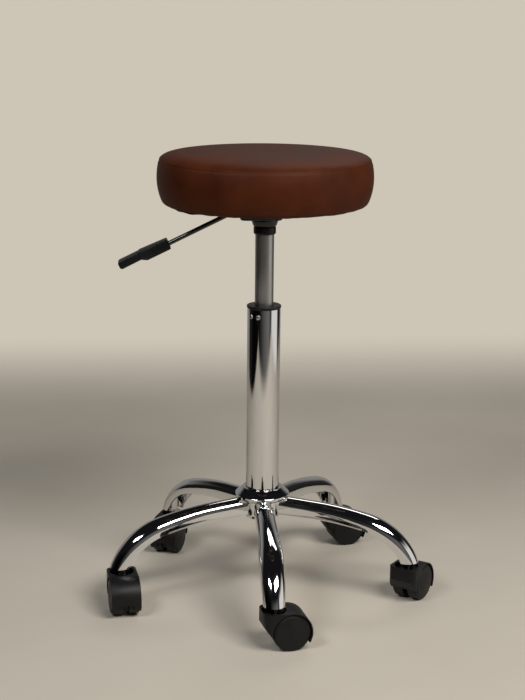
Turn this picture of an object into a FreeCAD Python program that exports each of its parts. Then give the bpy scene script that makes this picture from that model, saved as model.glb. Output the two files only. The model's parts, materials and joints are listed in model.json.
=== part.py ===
"""Round upholstered stool on a gas lift, with a five-leg chromed base on twin-wheel casters.

Units are millimetres.  The origin lies on the floor under the column's axis, +Z points up
and the first leg points along -Y.  Every physical piece is one node in parts/.
"""
import FreeCAD, Part
import math
import os

V = FreeCAD.Vector
UP = V(0, 0, 1)
ORIGIN = V(0, 0, 0)

# ---- clearances -------------------------------------------------------------------------
RUNNING = 0.05          # radial gap of a shaft that turns or slides in its hole
SEATED = 0.02           # radial gap of a piece that is pushed home and stays
FACE_GAP = 0.3          # gap between faces that pass each other
THRUST_GAP = 0.05       # axial gap under the thrust bearing

# ---- casters ----------------------------------------------------------------------------
WHEEL_RADIUS = 27.5
WHEEL_INNER_FACE = 4.0      # distance of a wheel's inner face from the caster's middle plane
WHEEL_OUTER_FACE = 21.4
WHEEL_CROWN = 1.4           # how far the domed face stands out past the rim
WHEEL_FACE_RADIUS = 24.4
WHEEL_EDGE = 1.3
WHEEL_HUB_RADIUS = 8.5
WHEEL_RIM_WALL = 5.0
WHEEL_WEB = 4.4             # thickness of the disc between hub and rim
AXLE_RADIUS = 4.0
AXLE_HALF_LENGTH = 18.6
CASTER_TRAIL = 22.0         # offset of the axle behind the stem
HOOD_GAP = 1.0              # between the tread and the hood
HOOD_WALL = 2.0
HOOD_HALF_WIDTH = 22.0
HOOD_WEB = 6.4              # thickness of the wall between the wheels
HOOD_FRONT_CORNER = 9.0
HOOD_SKIRT_DROP = 20.0      # height of the front skirt before it turns under
HOOD_LIP_ANGLE = 12.4       # how far below the axle the front lip ends
HOOD_REAR_ANGLE = 30.0      # how far below the axle the hood's back edge reaches
HOOD_NOTCH_ANGLE = 10.0     # the same in the notch behind the web
HOOD_NOTCH_WIDTH = 22.0
NECK_RADIUS = 18.0          # of the neck, and how far the hood reaches ahead of the stem
NECK_HEIGHT = 7.0           # the neck's height above the hood
NECK_RECESS_RADIUS = 14.5
NECK_RECESS_DEPTH = 4.0
STEM_RADIUS = 5.5
STEM_LENGTH = 36.5
STEM_COLLAR_RADIUS = 9.0
STEM_ENGAGEMENT = 14.0      # length of stem held below the collar's top
GRIP_RING_DEPTH = 0.6
GRIP_RING_PROUD = 0.3
GRIP_RING_HEIGHT = 2.0
GRIP_RING_OFFSET = 11.0     # height of the grip ring above the leg's end
CASTER_HEADINGS = (10.4, 53.4, 12.4, -110.6, -81.6)   # where each caster trails, in degrees

# ---- base -------------------------------------------------------------------------------
LEG_COUNT = 5
FIRST_LEG_ANGLE = -90.0
STEM_CIRCLE = 227.5         # radius of the circle of caster stems
LEG_WALL = 2.0
LEG_WIDTH = 29.5
LEG_BULGE = 7.0             # extra width where the leg bends down
LEG_BULGE_START = 0.25      # where the bulge begins, as a share of the leg's length
LEG_BULGE_SPAN = 0.8
LEG_DEPTH_ROOT = 26.0
LEG_DEPTH_TIP = 22.5
LEG_TAPER_END = 0.55        # share of the length over which the depth comes down
LEG_CROWN = 0.88            # height of the rounded ridge as a share of half the width
LEG_ROOT_SLOPE = 4.5        # degrees below level
LEG_SPRING_SLOPE = 14.0
LEG_TIP_SLOPE = 70.0
LEG_SPRING_RADIUS = 515.0
LEG_BEND_RADIUS = 110.0
LEG_RIDGE_PAST_STEM = 18.5  # how far the ridge lies outside the stem at the leg's end
LEG_TRIM = 18.0             # extra length that the level cut at the end removes
LEG_STEPS = 3               # sections along the straight; the bends get one and two more
LEG_GAP = 0.3               # between the leg's end and the caster's neck
SOCKET_RADIUS = 8.0
SOCKET_WALL = 2.1
SOCKET_LENGTH = 26.0
HUB_SLEEVE_WALL = 3.0
HUB_SLEEVE_BELOW = 28.0     # how far the sleeve reaches below the leg's ridge
COLLAR_OVERHANG = 16.5      # how far the bevelled collar stands out from the column
COLLAR_FLAT = 3.0
COLLAR_RISE = 10.0
COLLAR_RISE_INSET = 11.0
COLLAR_DROP = 6.0
COLLAR_DROP_INSET = 7.0

# ---- column and gas lift ----------------------------------------------------------------
COLUMN_RADIUS = 25.0
COLUMN_WALL = 1.5
COLUMN_LENGTH = 329.4
FLUTE_COUNT = 9
FLUTE_HEIGHT = 23.0
FLUTE_WIDTH_BOTTOM = 3.2
FLUTE_WIDTH_TOP = 1.0
FLUTE_FIRST_ANGLE = -94.6
BUSH_LENGTH = 68.0
BUSH_FLANGE = 3.8
BUSH_FLANGE_OVERHANG = 0.8
RIVET_ANGLES = (-115.0, -145.0)
RIVET_BELOW_TOP = 11.4
RIVET_HEAD_RADIUS = 3.4
RIVET_HEAD_HEIGHT = 1.1
RIVET_SHANK_RADIUS = 1.6
RIVET_SHANK_LENGTH = 4.0
BASE_PLATE = 3.0
ROD_RADIUS = 5.0
ROD_TAIL_RADIUS = 4.0
ROD_TAIL_BELOW = 6.0        # how far the rod's tail shows below the base plate
CLIP_RADIUS = 7.5
CLIP_GROOVE = 0.8
CLIP_THICKNESS = 1.2
CLIP_MOUTH = 5.0
WASHER_RADIUS = 11.0
WASHER_THICKNESS = 1.2
BALL_RADIUS = 2.0
BALL_COUNT = 10
BALL_CIRCLE = 7.6
BUMP_STOP_RADIUS = 12.5
BUMP_STOP_HEIGHT = 24.0
LIFT_DOWN = 105.0           # travel below the drawn height
LIFT_UP = 85.0              # travel above it
CYLINDER_RADIUS = 14.0
CYLINDER_WALL = 2.0
CYLINDER_STROKE_ROOM = 20.0  # least room left over the bump stop with the seat down
SEAL_HEIGHT = 12.0
PISTON_HEIGHT = 10.0
TAPER_LENGTH = 24.0
TAPER_REDUCTION = 0.8
VALVE_BODY_LENGTH = 24.0
VALVE_PIN_RADIUS = 3.0
VALVE_PIN_LENGTH = 20.0
VALVE_PIN_PROUD = 4.0
VALVE_TRAVEL = 3.2
SHOWN_CYLINDER = 107.3      # bright cylinder between the bush and the mechanism

# ---- seat mechanism ---------------------------------------------------------------------
STOP_COLLAR_WALL = 2.7
STOP_COLLAR_HEIGHT = 11.5
STOP_COLLAR_CHAMFER = 1.6
NECK_GROOVE_WALL = 1.4
NECK_GROOVE_HEIGHT = 1.5
SOCKET_NOSE_WALL = 3.5
SOCKET_CONE_HEIGHT = 7.5
SOCKET_NECK_WALL = 6.0
SOCKET_NECK_HEIGHT = 3.5
HOUSING_LENGTH = 62.0
HOUSING_SHIFT = -7.0        # of its middle towards the lever
HOUSING_WIDTH = 62.0
HOUSING_HEIGHT = 20.5
HOUSING_WALL = 2.5
HOUSING_FLOOR = 1.8
HOUSING_NOSE_CHAMFER = 4.5
HOUSING_CORNER = 8.0
PLATE_SIDE = 160.0
PLATE_THICKNESS = 3.0
PLATE_CORNER = 10.0
SCREW_SPACING = 127.0
SCREW_RADIUS = 3.0
SCREW_HEAD_RADIUS = 5.8
SCREW_HEAD_HEIGHT = 4.0
SCREW_LENGTH = 13.0
TNUT_BARREL_RADIUS = 4.0
TNUT_FLANGE_RADIUS = 9.0
TNUT_FLANGE = 1.2
LEVER_RADIUS = 3.5
LEVER_AXIS_ABOVE_FLOOR = 7.7
LEVER_PIVOT_INSET = 5.0     # pivot pin's distance inside the housing's end
LEVER_PIN_RADIUS = 1.5
LEVER_LUG = 2.4
LEVER_LUG_GAP = 0.7
LEVER_TONGUE_WIDTH = 8.0
LEVER_TONGUE_THICKNESS = 3.0
LEVER_TONGUE_OVERREACH = 6.0
LEVER_BEND_AT = 45.7        # distance of the bend from the column's axis
LEVER_BEND_RADIUS = 16.0
LEVER_DROOP = 26.0          # degrees below level outside the bend
LEVER_REACH = 142.0         # where the grip starts
GRIP_LENGTH = 80.6
GRIP_WIDTH = 26.0
GRIP_TOP = 7.9              # above the rod's axis at the grip's mouth
GRIP_TOP_STEP = 10.0
GRIP_BELOW = 7.2
GRIP_BLOCK_LENGTH = 38.5
GRIP_WAIST = 46.5
FINGER_TOP = 9.4
FINGER_BELOW = 2.6
FINGER_WIDTH = 22.0
FINGER_TIP_RADIUS = 4.0
GRIP_BORE_DEPTH = 44.0

# ---- seat -------------------------------------------------------------------------------
SEAT_RADIUS = 161.0
SEAT_HEIGHT = 77.5          # from the underside of the turned hem to the crown
SEAT_WIDEST = 36.0          # height of the widest line above the underside
SEAM_HEIGHT = 63.5
SEAM_INSET = 3.5
SHOULDER_HEIGHT = 73.2
SHOULDER_INSET = 26.0
BOTTOM_EDGE_INSET = 6.5
BOTTOM_EDGE_HEIGHT = 6.0
BOTTOM_INSET = 17.0
HEM_WIDTH = 18.0
COVER_THICKNESS = 1.5
BOARD_THICKNESS = 12.0
BOARD_EDGE_GAP = 11.5       # foam wrapped round the board's edge
DUST_COVER_THICKNESS = 0.6
DUST_COVER_OVERLAP = 14.0
DUST_COVER_WINDOW_GAP = 3.0
STAPLE_COUNT = 24
STAPLE_CROWN = 10.0
STAPLE_WIRE = 0.8
STAPLE_LEG = 6.0

# ---- heights and radii that follow ------------------------------------------------------
HOOD_INNER = WHEEL_RADIUS + HOOD_GAP
HOOD_OUTER = HOOD_INNER + HOOD_WALL
HOOD_TOP = WHEEL_RADIUS + HOOD_OUTER
NECK_TOP = HOOD_TOP + NECK_HEIGHT
LEG_END = NECK_TOP + LEG_GAP
STEM_BOTTOM = NECK_TOP - STEM_ENGAGEMENT
COLUMN_INNER = COLUMN_RADIUS - COLUMN_WALL
SLEEVE_RADIUS = COLUMN_RADIUS + HUB_SLEEVE_WALL
CYLINDER_INNER = CYLINDER_RADIUS - CYLINDER_WALL
SOCKET_BORE = SOCKET_RADIUS - SOCKET_WALL
HOUSING_NOSE = HOUSING_SHIFT - HOUSING_LENGTH / 2
COLLAR_RADIUS = COLUMN_RADIUS + COLLAR_OVERHANG
STOP_COLLAR_RADIUS = CYLINDER_RADIUS + STOP_COLLAR_WALL
NECK_GROOVE_RADIUS = CYLINDER_RADIUS + NECK_GROOVE_WALL
SOCKET_NOSE_RADIUS = CYLINDER_RADIUS + SOCKET_NOSE_WALL
TAPER_SOCKET_RADIUS = CYLINDER_RADIUS + SOCKET_NECK_WALL
HEM_RADIUS = SEAT_RADIUS - BOTTOM_INSET - HEM_WIDTH


def sin(degrees):
    return math.sin(math.radians(degrees))


def cos(degrees):
    return math.cos(math.radians(degrees))


# ---- shape helpers ----------------------------------------------------------------------
def disc(radius, low, high):
    """Upright cylinder on the Z axis between two heights."""
    return Part.makeCylinder(radius, high - low, V(0, 0, low))


def ring(outer, inner, low, high):
    """Upright tube on the Z axis."""
    return disc(outer, low, high).cut(disc(inner, low - 1, high + 1))


def block(low, high):
    """Box between two opposite corners."""
    size = high - low
    return Part.makeBox(size.x, size.y, size.z, low)


def turned(outline):
    """Solid of revolution about Z of a closed outline of (radius, height) points."""
    points = [V(r, 0, z) for r, z in outline]
    wire = Part.makePolygon(points + points[:1])
    return Part.Face(wire).revolve(ORIGIN, UP, 360)


def rounded_slab(length, width, corner, low, high):
    """Upright slab centred on the Z axis, its four upright edges rounded."""
    slab = block(V(-length / 2, -width / 2, low), V(length / 2, width / 2, high))
    upright = [e for e in slab.Edges if abs(e.tangentAt(e.FirstParameter).z) > 0.9]
    return slab.makeFillet(corner, upright)


def dome(radius, low, rise):
    """Arc over the axis from a rim at one height up to a crown."""
    ball = (radius ** 2 + rise ** 2) / (2 * rise)
    half = math.asin(radius / ball) / 2
    crown = low + rise
    middle = V(ball * math.sin(half), 0, crown - ball * (1 - math.cos(half)))
    return Part.Arc(V(radius, 0, low), middle, V(0, 0, crown)).toShape()


def turned_about(shape, angle, axis=UP, centre=ORIGIN):
    """Copy of a shape turned by an angle in degrees."""
    copy = shape.copy()
    copy.rotate(centre, axis, angle)
    return copy


def moved(shape, offset):
    """Copy of a shape shifted by a vector."""
    copy = shape.copy()
    copy.translate(offset)
    return copy


def spaced_round(shape, count, first=0.0):
    """Copies of a shape spaced evenly round the Z axis, with the first at an angle."""
    return [turned_about(shape, first + 360.0 * k / count) for k in range(count)]


def largest(shape):
    """Largest solid of a shape."""
    return max(shape.Solids, key=lambda solid: solid.Volume)


def export(name, shape):
    """Write one node."""
    shape.exportStep("parts/" + name + ".step")


# ---- legs -------------------------------------------------------------------------------
def bend_reach(radius, start, end):
    """Outward and downward run of an arc between two slopes."""
    return radius * (sin(end) - sin(start)), radius * (cos(start) - cos(end))


def leg_stations():
    """Ridge points of a leg from hub to tip: radius, height, slope and share of length."""
    spring = bend_reach(LEG_SPRING_RADIUS, LEG_ROOT_SLOPE, LEG_SPRING_SLOPE)
    bend = bend_reach(LEG_BEND_RADIUS, LEG_SPRING_SLOPE, LEG_TIP_SLOPE)
    tip_radius = STEM_CIRCLE + LEG_RIDGE_PAST_STEM
    root_radius = COLUMN_RADIUS - 1.0
    straight = tip_radius - spring[0] - bend[0] - root_radius
    root_height = LEG_END + spring[1] + bend[1] + straight * math.tan(math.radians(LEG_ROOT_SLOPE))
    fall = straight * math.tan(math.radians(LEG_ROOT_SLOPE))
    points = [(root_radius + straight * k / LEG_STEPS, root_height - fall * k / LEG_STEPS,
               LEG_ROOT_SLOPE) for k in range(LEG_STEPS + 1)]
    radius = root_radius + straight
    height = root_height - fall
    for bend_radius, start, end, steps in (
        (LEG_SPRING_RADIUS, LEG_ROOT_SLOPE, LEG_SPRING_SLOPE, LEG_STEPS + 1),
        (LEG_BEND_RADIUS, LEG_SPRING_SLOPE, LEG_TIP_SLOPE, LEG_STEPS + 2),
    ):
        for step in range(1, steps + 1):
            slope = start + (end - start) * step / steps
            out, down = bend_reach(bend_radius, start, slope)
            points.append((radius + out, height - down, slope))
        radius += out
        height -= down
    points.append((radius + LEG_TRIM * cos(end), height - LEG_TRIM * sin(end), end))
    length = sum(math.dist(a[:2], b[:2]) for a, b in zip(points, points[1:]))
    run = 0.0
    stations = []
    for before, point in zip(points[:1] + points, points):
        run += math.dist(before[:2], point[:2])
        stations.append(point + (run / length,))
    return stations


def leg_section(station, wall, below):
    """Closed D-shaped section across a leg, drawn in by a wall and deepened below."""
    radius, height, slope, share = station
    phase = min(max((share - LEG_BULGE_START) / LEG_BULGE_SPAN, 0.0), 1.0)
    half = (LEG_WIDTH + LEG_BULGE * math.sin(math.pi * phase) ** 2) / 2 - wall
    taper = max(0.0, 1.0 - share / LEG_TAPER_END)
    depth = LEG_DEPTH_TIP + (LEG_DEPTH_ROOT - LEG_DEPTH_TIP) * taper
    crown = LEG_CROWN * half
    down = V(-sin(slope), 0, -cos(slope))
    side = V(0, -1, 0)
    ridge = V(radius, 0, height) + down * wall
    centre = ridge + down * crown
    foot = V(radius, 0, height) + down * (depth + below)
    arch = Part.ArcOfEllipse(Part.Ellipse(centre + side * half, ridge, centre), 0, math.pi)
    left = centre - side * half
    right = centre + side * half
    edges = [
        arch.toShape(),
        Part.makeLine(left, foot - side * half),
        Part.makeLine(foot - side * half, foot + side * half),
        Part.makeLine(foot + side * half, right),
    ]
    return Part.Wire(edges)


def leg_envelope(wall=0.0, below=0.0):
    """Leg along +X before its end is cut level: the outside, or the space inside the wall."""
    sections = [leg_section(station, wall, below) for station in leg_stations()]
    return Part.makeLoft(sections, True)


def leg_trimmed(solid):
    """Cut a leg's root to the hub sleeve and its own sector, and its end level."""
    reach = STEM_CIRCLE + LEG_RIDGE_PAST_STEM + 50
    half = reach * math.tan(math.pi / LEG_COUNT)
    corners = [V(0, 0, LEG_END), V(reach, -half, LEG_END), V(reach, half, LEG_END)]
    sector = Part.Face(Part.makePolygon(corners + corners[:1])).extrude(UP * reach)
    return largest(solid.common(sector).cut(disc(SLEEVE_RADIUS, 0, 400)))


LEG_RIDGE_ROOT = leg_stations()[0][1]
LEG_OUTSIDE = leg_envelope()
LEG_INSIDE = leg_envelope(LEG_WALL, LEG_WALL + 4)
LEG_SHELL = LEG_OUTSIDE.cut(LEG_INSIDE)
LEG_ANGLES = [FIRST_LEG_ANGLE + 360.0 * k / LEG_COUNT for k in range(LEG_COUNT)]

# ---- heights up the column --------------------------------------------------------------
SLEEVE_BOTTOM = LEG_RIDGE_ROOT - HUB_SLEEVE_BELOW
COLLAR_BOTTOM = LEG_RIDGE_ROOT - COLLAR_DROP
COLLAR_TOP = COLLAR_BOTTOM + COLLAR_DROP + COLLAR_FLAT + COLLAR_RISE
COLUMN_BOTTOM = SLEEVE_BOTTOM - 7.0
COLUMN_TOP = COLUMN_BOTTOM + COLUMN_LENGTH
BUSH_TOP = COLUMN_TOP + BUSH_FLANGE
PLATE_TOP = COLUMN_BOTTOM + BASE_PLATE
THRUST_BOTTOM = PLATE_TOP + THRUST_GAP
THRUST_TOP = THRUST_BOTTOM + 2 * WASHER_THICKNESS + 2 * BALL_RADIUS
BUMP_TOP = THRUST_TOP + BUMP_STOP_HEIGHT
MECHANISM_BOTTOM = BUSH_TOP + SHOWN_CYLINDER
CONE_BOTTOM = MECHANISM_BOTTOM + STOP_COLLAR_HEIGHT + NECK_GROOVE_HEIGHT
HOUSING_BOTTOM = CONE_BOTTOM + SOCKET_CONE_HEIGHT + SOCKET_NECK_HEIGHT
FLOOR_TOP = HOUSING_BOTTOM + HOUSING_FLOOR
SEAT_PLATE_BOTTOM = HOUSING_BOTTOM + HOUSING_HEIGHT
BOARD_BOTTOM = SEAT_PLATE_BOTTOM + PLATE_THICKNESS
BOARD_TOP = BOARD_BOTTOM + BOARD_THICKNESS
SEAT_BOTTOM = BOARD_BOTTOM - COVER_THICKNESS
CYLINDER_TOP = FLOOR_TOP
CYLINDER_BOTTOM = BUMP_TOP + CYLINDER_STROKE_ROOM + LIFT_DOWN
PISTON_BOTTOM = CYLINDER_BOTTOM + SEAL_HEIGHT + LIFT_UP + 2.0
VALVE_BODY_TOP = CYLINDER_TOP - CYLINDER_WALL
LEVER_AXIS = FLOOR_TOP + LEVER_AXIS_ABOVE_FLOOR
LEVER_PIVOT_X = HOUSING_NOSE + LEVER_PIVOT_INSET


def tip_socket():
    """Upright socket welded inside a leg's end, trimmed to the inside of the leg."""
    tube = ring(SOCKET_RADIUS, SOCKET_BORE, LEG_END, LEG_END + SOCKET_LENGTH)
    tube.translate(V(STEM_CIRCLE, 0, 0))
    return largest(tube.cut(LEG_SHELL))


def build_legs():
    leg = leg_trimmed(LEG_SHELL)
    socket = tip_socket()
    for number, angle in enumerate(LEG_ANGLES, 1):
        export("leg_%d" % number, turned_about(leg, angle))
    export("stem_sockets", Part.makeCompound([turned_about(socket, a) for a in LEG_ANGLES]))


def build_hub():
    legs = [turned_about(leg_trimmed(LEG_OUTSIDE), a) for a in LEG_ANGLES]
    export("hub_sleeve", ring(SLEEVE_RADIUS, COLUMN_RADIUS, SLEEVE_BOTTOM, COLLAR_BOTTOM + 4))
    widest = COLLAR_BOTTOM + COLLAR_DROP
    collar = turned([
        (COLUMN_RADIUS, COLLAR_BOTTOM + 4),
        (SLEEVE_RADIUS, COLLAR_BOTTOM + 4),
        (SLEEVE_RADIUS, COLLAR_BOTTOM),
        (COLLAR_RADIUS - COLLAR_DROP_INSET, COLLAR_BOTTOM),
        (COLLAR_RADIUS, widest),
        (COLLAR_RADIUS, widest + COLLAR_FLAT),
        (COLLAR_RADIUS - COLLAR_RISE_INSET, COLLAR_TOP),
        (COLUMN_RADIUS, COLLAR_TOP),
    ])
    for leg in legs:
        collar = collar.cut(leg)
    export("hub_collar", largest(collar))


# ---- column -----------------------------------------------------------------------------
def rivet(extra=0.0):
    """Pan-headed rivet pointing inwards along -X from the tube's face."""
    seat = COLUMN_RADIUS
    outline = [
        (0, seat - RIVET_SHANK_LENGTH),
        (RIVET_SHANK_RADIUS + extra, seat - RIVET_SHANK_LENGTH),
        (RIVET_SHANK_RADIUS + extra, seat),
        (RIVET_HEAD_RADIUS, seat),
        (RIVET_HEAD_RADIUS * 0.85, seat + RIVET_HEAD_HEIGHT * 0.7),
        (RIVET_HEAD_RADIUS * 0.45, seat + RIVET_HEAD_HEIGHT),
        (0, seat + RIVET_HEAD_HEIGHT),
    ]
    lying = turned_about(turned(outline), 90, V(0, 1, 0))
    return moved(lying, V(0, 0, COLUMN_TOP - RIVET_BELOW_TOP))


def rivet_holes():
    """Drillings for the rivet shanks."""
    drill = Part.makeCylinder(RIVET_SHANK_RADIUS + SEATED, RIVET_SHANK_LENGTH + 3,
                              V(COLUMN_RADIUS - RIVET_SHANK_LENGTH - SEATED, 0,
                                COLUMN_TOP - RIVET_BELOW_TOP), V(1, 0, 0))
    return [turned_about(drill, angle) for angle in RIVET_ANGLES]


def flutes():
    """Tapered slots round the foot of the column, standing on the collar."""
    top = COLLAR_TOP + FLUTE_HEIGHT
    outline = [
        V(COLUMN_INNER - 1, -FLUTE_WIDTH_BOTTOM / 2, COLLAR_TOP),
        V(COLUMN_INNER - 1, FLUTE_WIDTH_BOTTOM / 2, COLLAR_TOP),
        V(COLUMN_INNER - 1, FLUTE_WIDTH_TOP / 2, top),
        V(COLUMN_INNER - 1, -FLUTE_WIDTH_TOP / 2, top),
    ]
    slot = Part.Face(Part.makePolygon(outline + outline[:1])).extrude(V(COLUMN_WALL + 2, 0, 0))
    return spaced_round(slot, FLUTE_COUNT, FLUTE_FIRST_ANGLE)


def build_column():
    tube = ring(COLUMN_RADIUS, COLUMN_INNER, COLUMN_BOTTOM, COLUMN_TOP)
    for cutter in flutes() + rivet_holes():
        tube = tube.cut(cutter)
    export("column_tube", tube)
    export("column_base_plate", ring(COLUMN_INNER, ROD_TAIL_RADIUS + RUNNING,
                                     COLUMN_BOTTOM, PLATE_TOP))
    flange = COLUMN_RADIUS + BUSH_FLANGE_OVERHANG
    bore = CYLINDER_RADIUS + RUNNING
    bush = turned([
        (bore, COLUMN_TOP - BUSH_LENGTH),
        (COLUMN_INNER - SEATED, COLUMN_TOP - BUSH_LENGTH),
        (COLUMN_INNER - SEATED, COLUMN_TOP),
        (flange, COLUMN_TOP),
        (flange, BUSH_TOP - 1.2),
        (flange - 1.2, BUSH_TOP),
        (bore, BUSH_TOP),
    ])
    for hole in rivet_holes():
        bush = bush.cut(hole)
    export("guide_bush", bush)
    export("bush_rivets", Part.makeCompound([turned_about(rivet(), a) for a in RIVET_ANGLES]))


# ---- gas lift ---------------------------------------------------------------------------
def build_rod():
    """Piston rod, piston and the thrust bearing that the whole seat turns on."""
    tail_end = COLUMN_BOTTOM - ROD_TAIL_BELOW
    groove_top = COLUMN_BOTTOM - 1.5
    groove = ring(ROD_TAIL_RADIUS + 1, ROD_TAIL_RADIUS - CLIP_GROOVE,
                  groove_top - CLIP_THICKNESS - 0.1, groove_top)
    piston_top = PISTON_BOTTOM + PISTON_HEIGHT
    rod = turned([
        (0, tail_end),
        (ROD_TAIL_RADIUS - 0.6, tail_end),
        (ROD_TAIL_RADIUS, tail_end + 0.6),
        (ROD_TAIL_RADIUS, THRUST_TOP),
        (ROD_RADIUS, THRUST_TOP),
        (ROD_RADIUS, piston_top),
        (0, piston_top),
    ])
    export("piston_rod", rod.cut(groove))
    export("piston", ring(CYLINDER_INNER - RUNNING, ROD_RADIUS, PISTON_BOTTOM, piston_top))
    clip = ring(CLIP_RADIUS, ROD_TAIL_RADIUS - CLIP_GROOVE,
                groove_top - CLIP_THICKNESS - 0.05, groove_top - 0.05)
    mouth = block(V(0, -CLIP_MOUTH / 2, groove_top - 5), V(CLIP_RADIUS + 1, CLIP_MOUTH / 2, groove_top))
    export("rod_clip", largest(clip.cut(mouth)))
    bore = ROD_TAIL_RADIUS + SEATED
    lower = ring(WASHER_RADIUS, bore, THRUST_BOTTOM, THRUST_BOTTOM + WASHER_THICKNESS)
    upper = ring(WASHER_RADIUS, bore, THRUST_TOP - WASHER_THICKNESS, THRUST_TOP)
    export("thrust_washers", Part.makeCompound([lower, upper]))
    ball = Part.makeSphere(BALL_RADIUS - SEATED / 2)
    ball.translate(V(BALL_CIRCLE, 0, (THRUST_BOTTOM + THRUST_TOP) / 2))
    export("bearing_balls", Part.makeCompound(spaced_round(ball, BALL_COUNT)))
    export("bump_stop", turned([
        (ROD_RADIUS + SEATED, THRUST_TOP),
        (BUMP_STOP_RADIUS - 1.5, THRUST_TOP),
        (BUMP_STOP_RADIUS, THRUST_TOP + 1.5),
        (BUMP_STOP_RADIUS, BUMP_TOP - 4),
        (BUMP_STOP_RADIUS - 3, BUMP_TOP),
        (ROD_RADIUS + SEATED, BUMP_TOP),
    ]))


def taper(extra, low, high):
    """Solid cone of the cylinder's tapered end, grown by an extra radius."""
    start = CYLINDER_TOP - TAPER_LENGTH
    slope = TAPER_REDUCTION / TAPER_LENGTH
    bottom = CYLINDER_RADIUS + extra - slope * (low - start)
    top = CYLINDER_RADIUS + extra - slope * (high - start)
    return Part.makeCone(bottom, top, high - low, V(0, 0, low))


def build_cylinder():
    straight_top = CYLINDER_TOP - TAPER_LENGTH
    outside = disc(CYLINDER_RADIUS, CYLINDER_BOTTOM, straight_top)
    outside = outside.fuse(taper(0, straight_top, CYLINDER_TOP)).removeSplitter()
    cylinder = outside.cut(disc(CYLINDER_INNER, CYLINDER_BOTTOM - 1, VALVE_BODY_TOP))
    pin_bore = VALVE_PIN_RADIUS + RUNNING
    cylinder = cylinder.cut(disc(pin_bore, VALVE_BODY_TOP - 1, CYLINDER_TOP + 1))
    export("gas_cylinder", cylinder)
    export("cylinder_seal", ring(CYLINDER_INNER, ROD_RADIUS + RUNNING,
                                 CYLINDER_BOTTOM, CYLINDER_BOTTOM + SEAL_HEIGHT))
    pin_top = CYLINDER_TOP + VALVE_PIN_PROUD
    pin_bottom = pin_top - VALVE_PIN_LENGTH
    body = disc(CYLINDER_INNER, VALVE_BODY_TOP - VALVE_BODY_LENGTH, VALVE_BODY_TOP)
    body = body.cut(disc(pin_bore, pin_bottom - VALVE_TRAVEL - FACE_GAP, VALVE_BODY_TOP + 1))
    export("valve_body", body)
    export("valve_pin", turned([
        (0, pin_bottom),
        (VALVE_PIN_RADIUS, pin_bottom),
        (VALVE_PIN_RADIUS, pin_top - 1.0),
        (VALVE_PIN_RADIUS - 1.2, pin_top - 0.2),
        (0, pin_top),
    ]))


# ---- seat mechanism ---------------------------------------------------------------------
def build_mechanism():
    collar_top = MECHANISM_BOTTOM + STOP_COLLAR_HEIGHT
    bore = CYLINDER_RADIUS + SEATED
    export("stop_collar", turned([
        (bore, MECHANISM_BOTTOM),
        (STOP_COLLAR_RADIUS - STOP_COLLAR_CHAMFER, MECHANISM_BOTTOM),
        (STOP_COLLAR_RADIUS, MECHANISM_BOTTOM + STOP_COLLAR_CHAMFER),
        (STOP_COLLAR_RADIUS, collar_top),
        (NECK_GROOVE_RADIUS, collar_top),
        (NECK_GROOVE_RADIUS, CONE_BOTTOM),
        (bore, CONE_BOTTOM),
    ]))
    neck = CONE_BOTTOM + SOCKET_CONE_HEIGHT
    socket = turned([
        (0, CONE_BOTTOM),
        (SOCKET_NOSE_RADIUS, CONE_BOTTOM),
        (TAPER_SOCKET_RADIUS, neck),
        (TAPER_SOCKET_RADIUS, FLOOR_TOP),
        (0, FLOOR_TOP),
    ])
    export("taper_socket", socket.cut(taper(SEATED, CONE_BOTTOM - 1, FLOOR_TOP + 1)))

    outer = rounded_slab(HOUSING_LENGTH, HOUSING_WIDTH, HOUSING_CORNER,
                         HOUSING_BOTTOM, SEAT_PLATE_BOTTOM)
    outer = moved(outer, V(HOUSING_SHIFT, 0, 0))
    nose = [V(HOUSING_NOSE - 1, 0, HOUSING_BOTTOM - 1),
            V(HOUSING_NOSE + HOUSING_NOSE_CHAMFER, 0, HOUSING_BOTTOM - 1),
            V(HOUSING_NOSE - 1, 0, HOUSING_BOTTOM + HOUSING_NOSE_CHAMFER)]
    wedge = Part.Face(Part.makePolygon(nose + nose[:1])).extrude(V(0, HOUSING_WIDTH, 0))
    outer = outer.cut(moved(wedge, V(0, -HOUSING_WIDTH / 2, 0)))
    inner = rounded_slab(HOUSING_LENGTH - 2 * HOUSING_WALL, HOUSING_WIDTH - 2 * HOUSING_WALL,
                         HOUSING_CORNER - HOUSING_WALL, FLOOR_TOP, SEAT_PLATE_BOTTOM + 1)
    tray = outer.cut(moved(inner, V(HOUSING_SHIFT, 0, 0)))
    lug_inside = LEVER_RADIUS + LEVER_LUG_GAP
    lug = block(V(HOUSING_NOSE + HOUSING_WALL - 1, lug_inside, HOUSING_BOTTOM + 0.5),
                V(LEVER_PIVOT_X + 3.5, lug_inside + LEVER_LUG, LEVER_AXIS + 3.5))
    lug = lug.common(outer)
    tray = tray.fuse([lug, lug.mirror(ORIGIN, V(0, 1, 0))]).removeSplitter()
    tray = tray.cut(disc(TAPER_SOCKET_RADIUS, HOUSING_BOTTOM - 1, FLOOR_TOP + 1))
    slot = block(V(HOUSING_NOSE - 1, -lug_inside, FLOOR_TOP),
                 V(HOUSING_NOSE + HOUSING_WALL + 0.5, lug_inside, LEVER_AXIS + LEVER_RADIUS + 1.5))
    tray = tray.cut(slot)
    pin_half = lug_inside + LEVER_LUG
    pin = Part.makeCylinder(LEVER_PIN_RADIUS, 2 * pin_half,
                            V(LEVER_PIVOT_X, -pin_half, LEVER_AXIS), V(0, 1, 0))
    export("lever_pivot_pin", pin)
    export("mechanism_housing", largest(tray.cut(pin)))


def screw_places():
    half = SCREW_SPACING / 2
    return [V(x, y, 0) for x in (-half, half) for y in (-half, half)]


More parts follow.
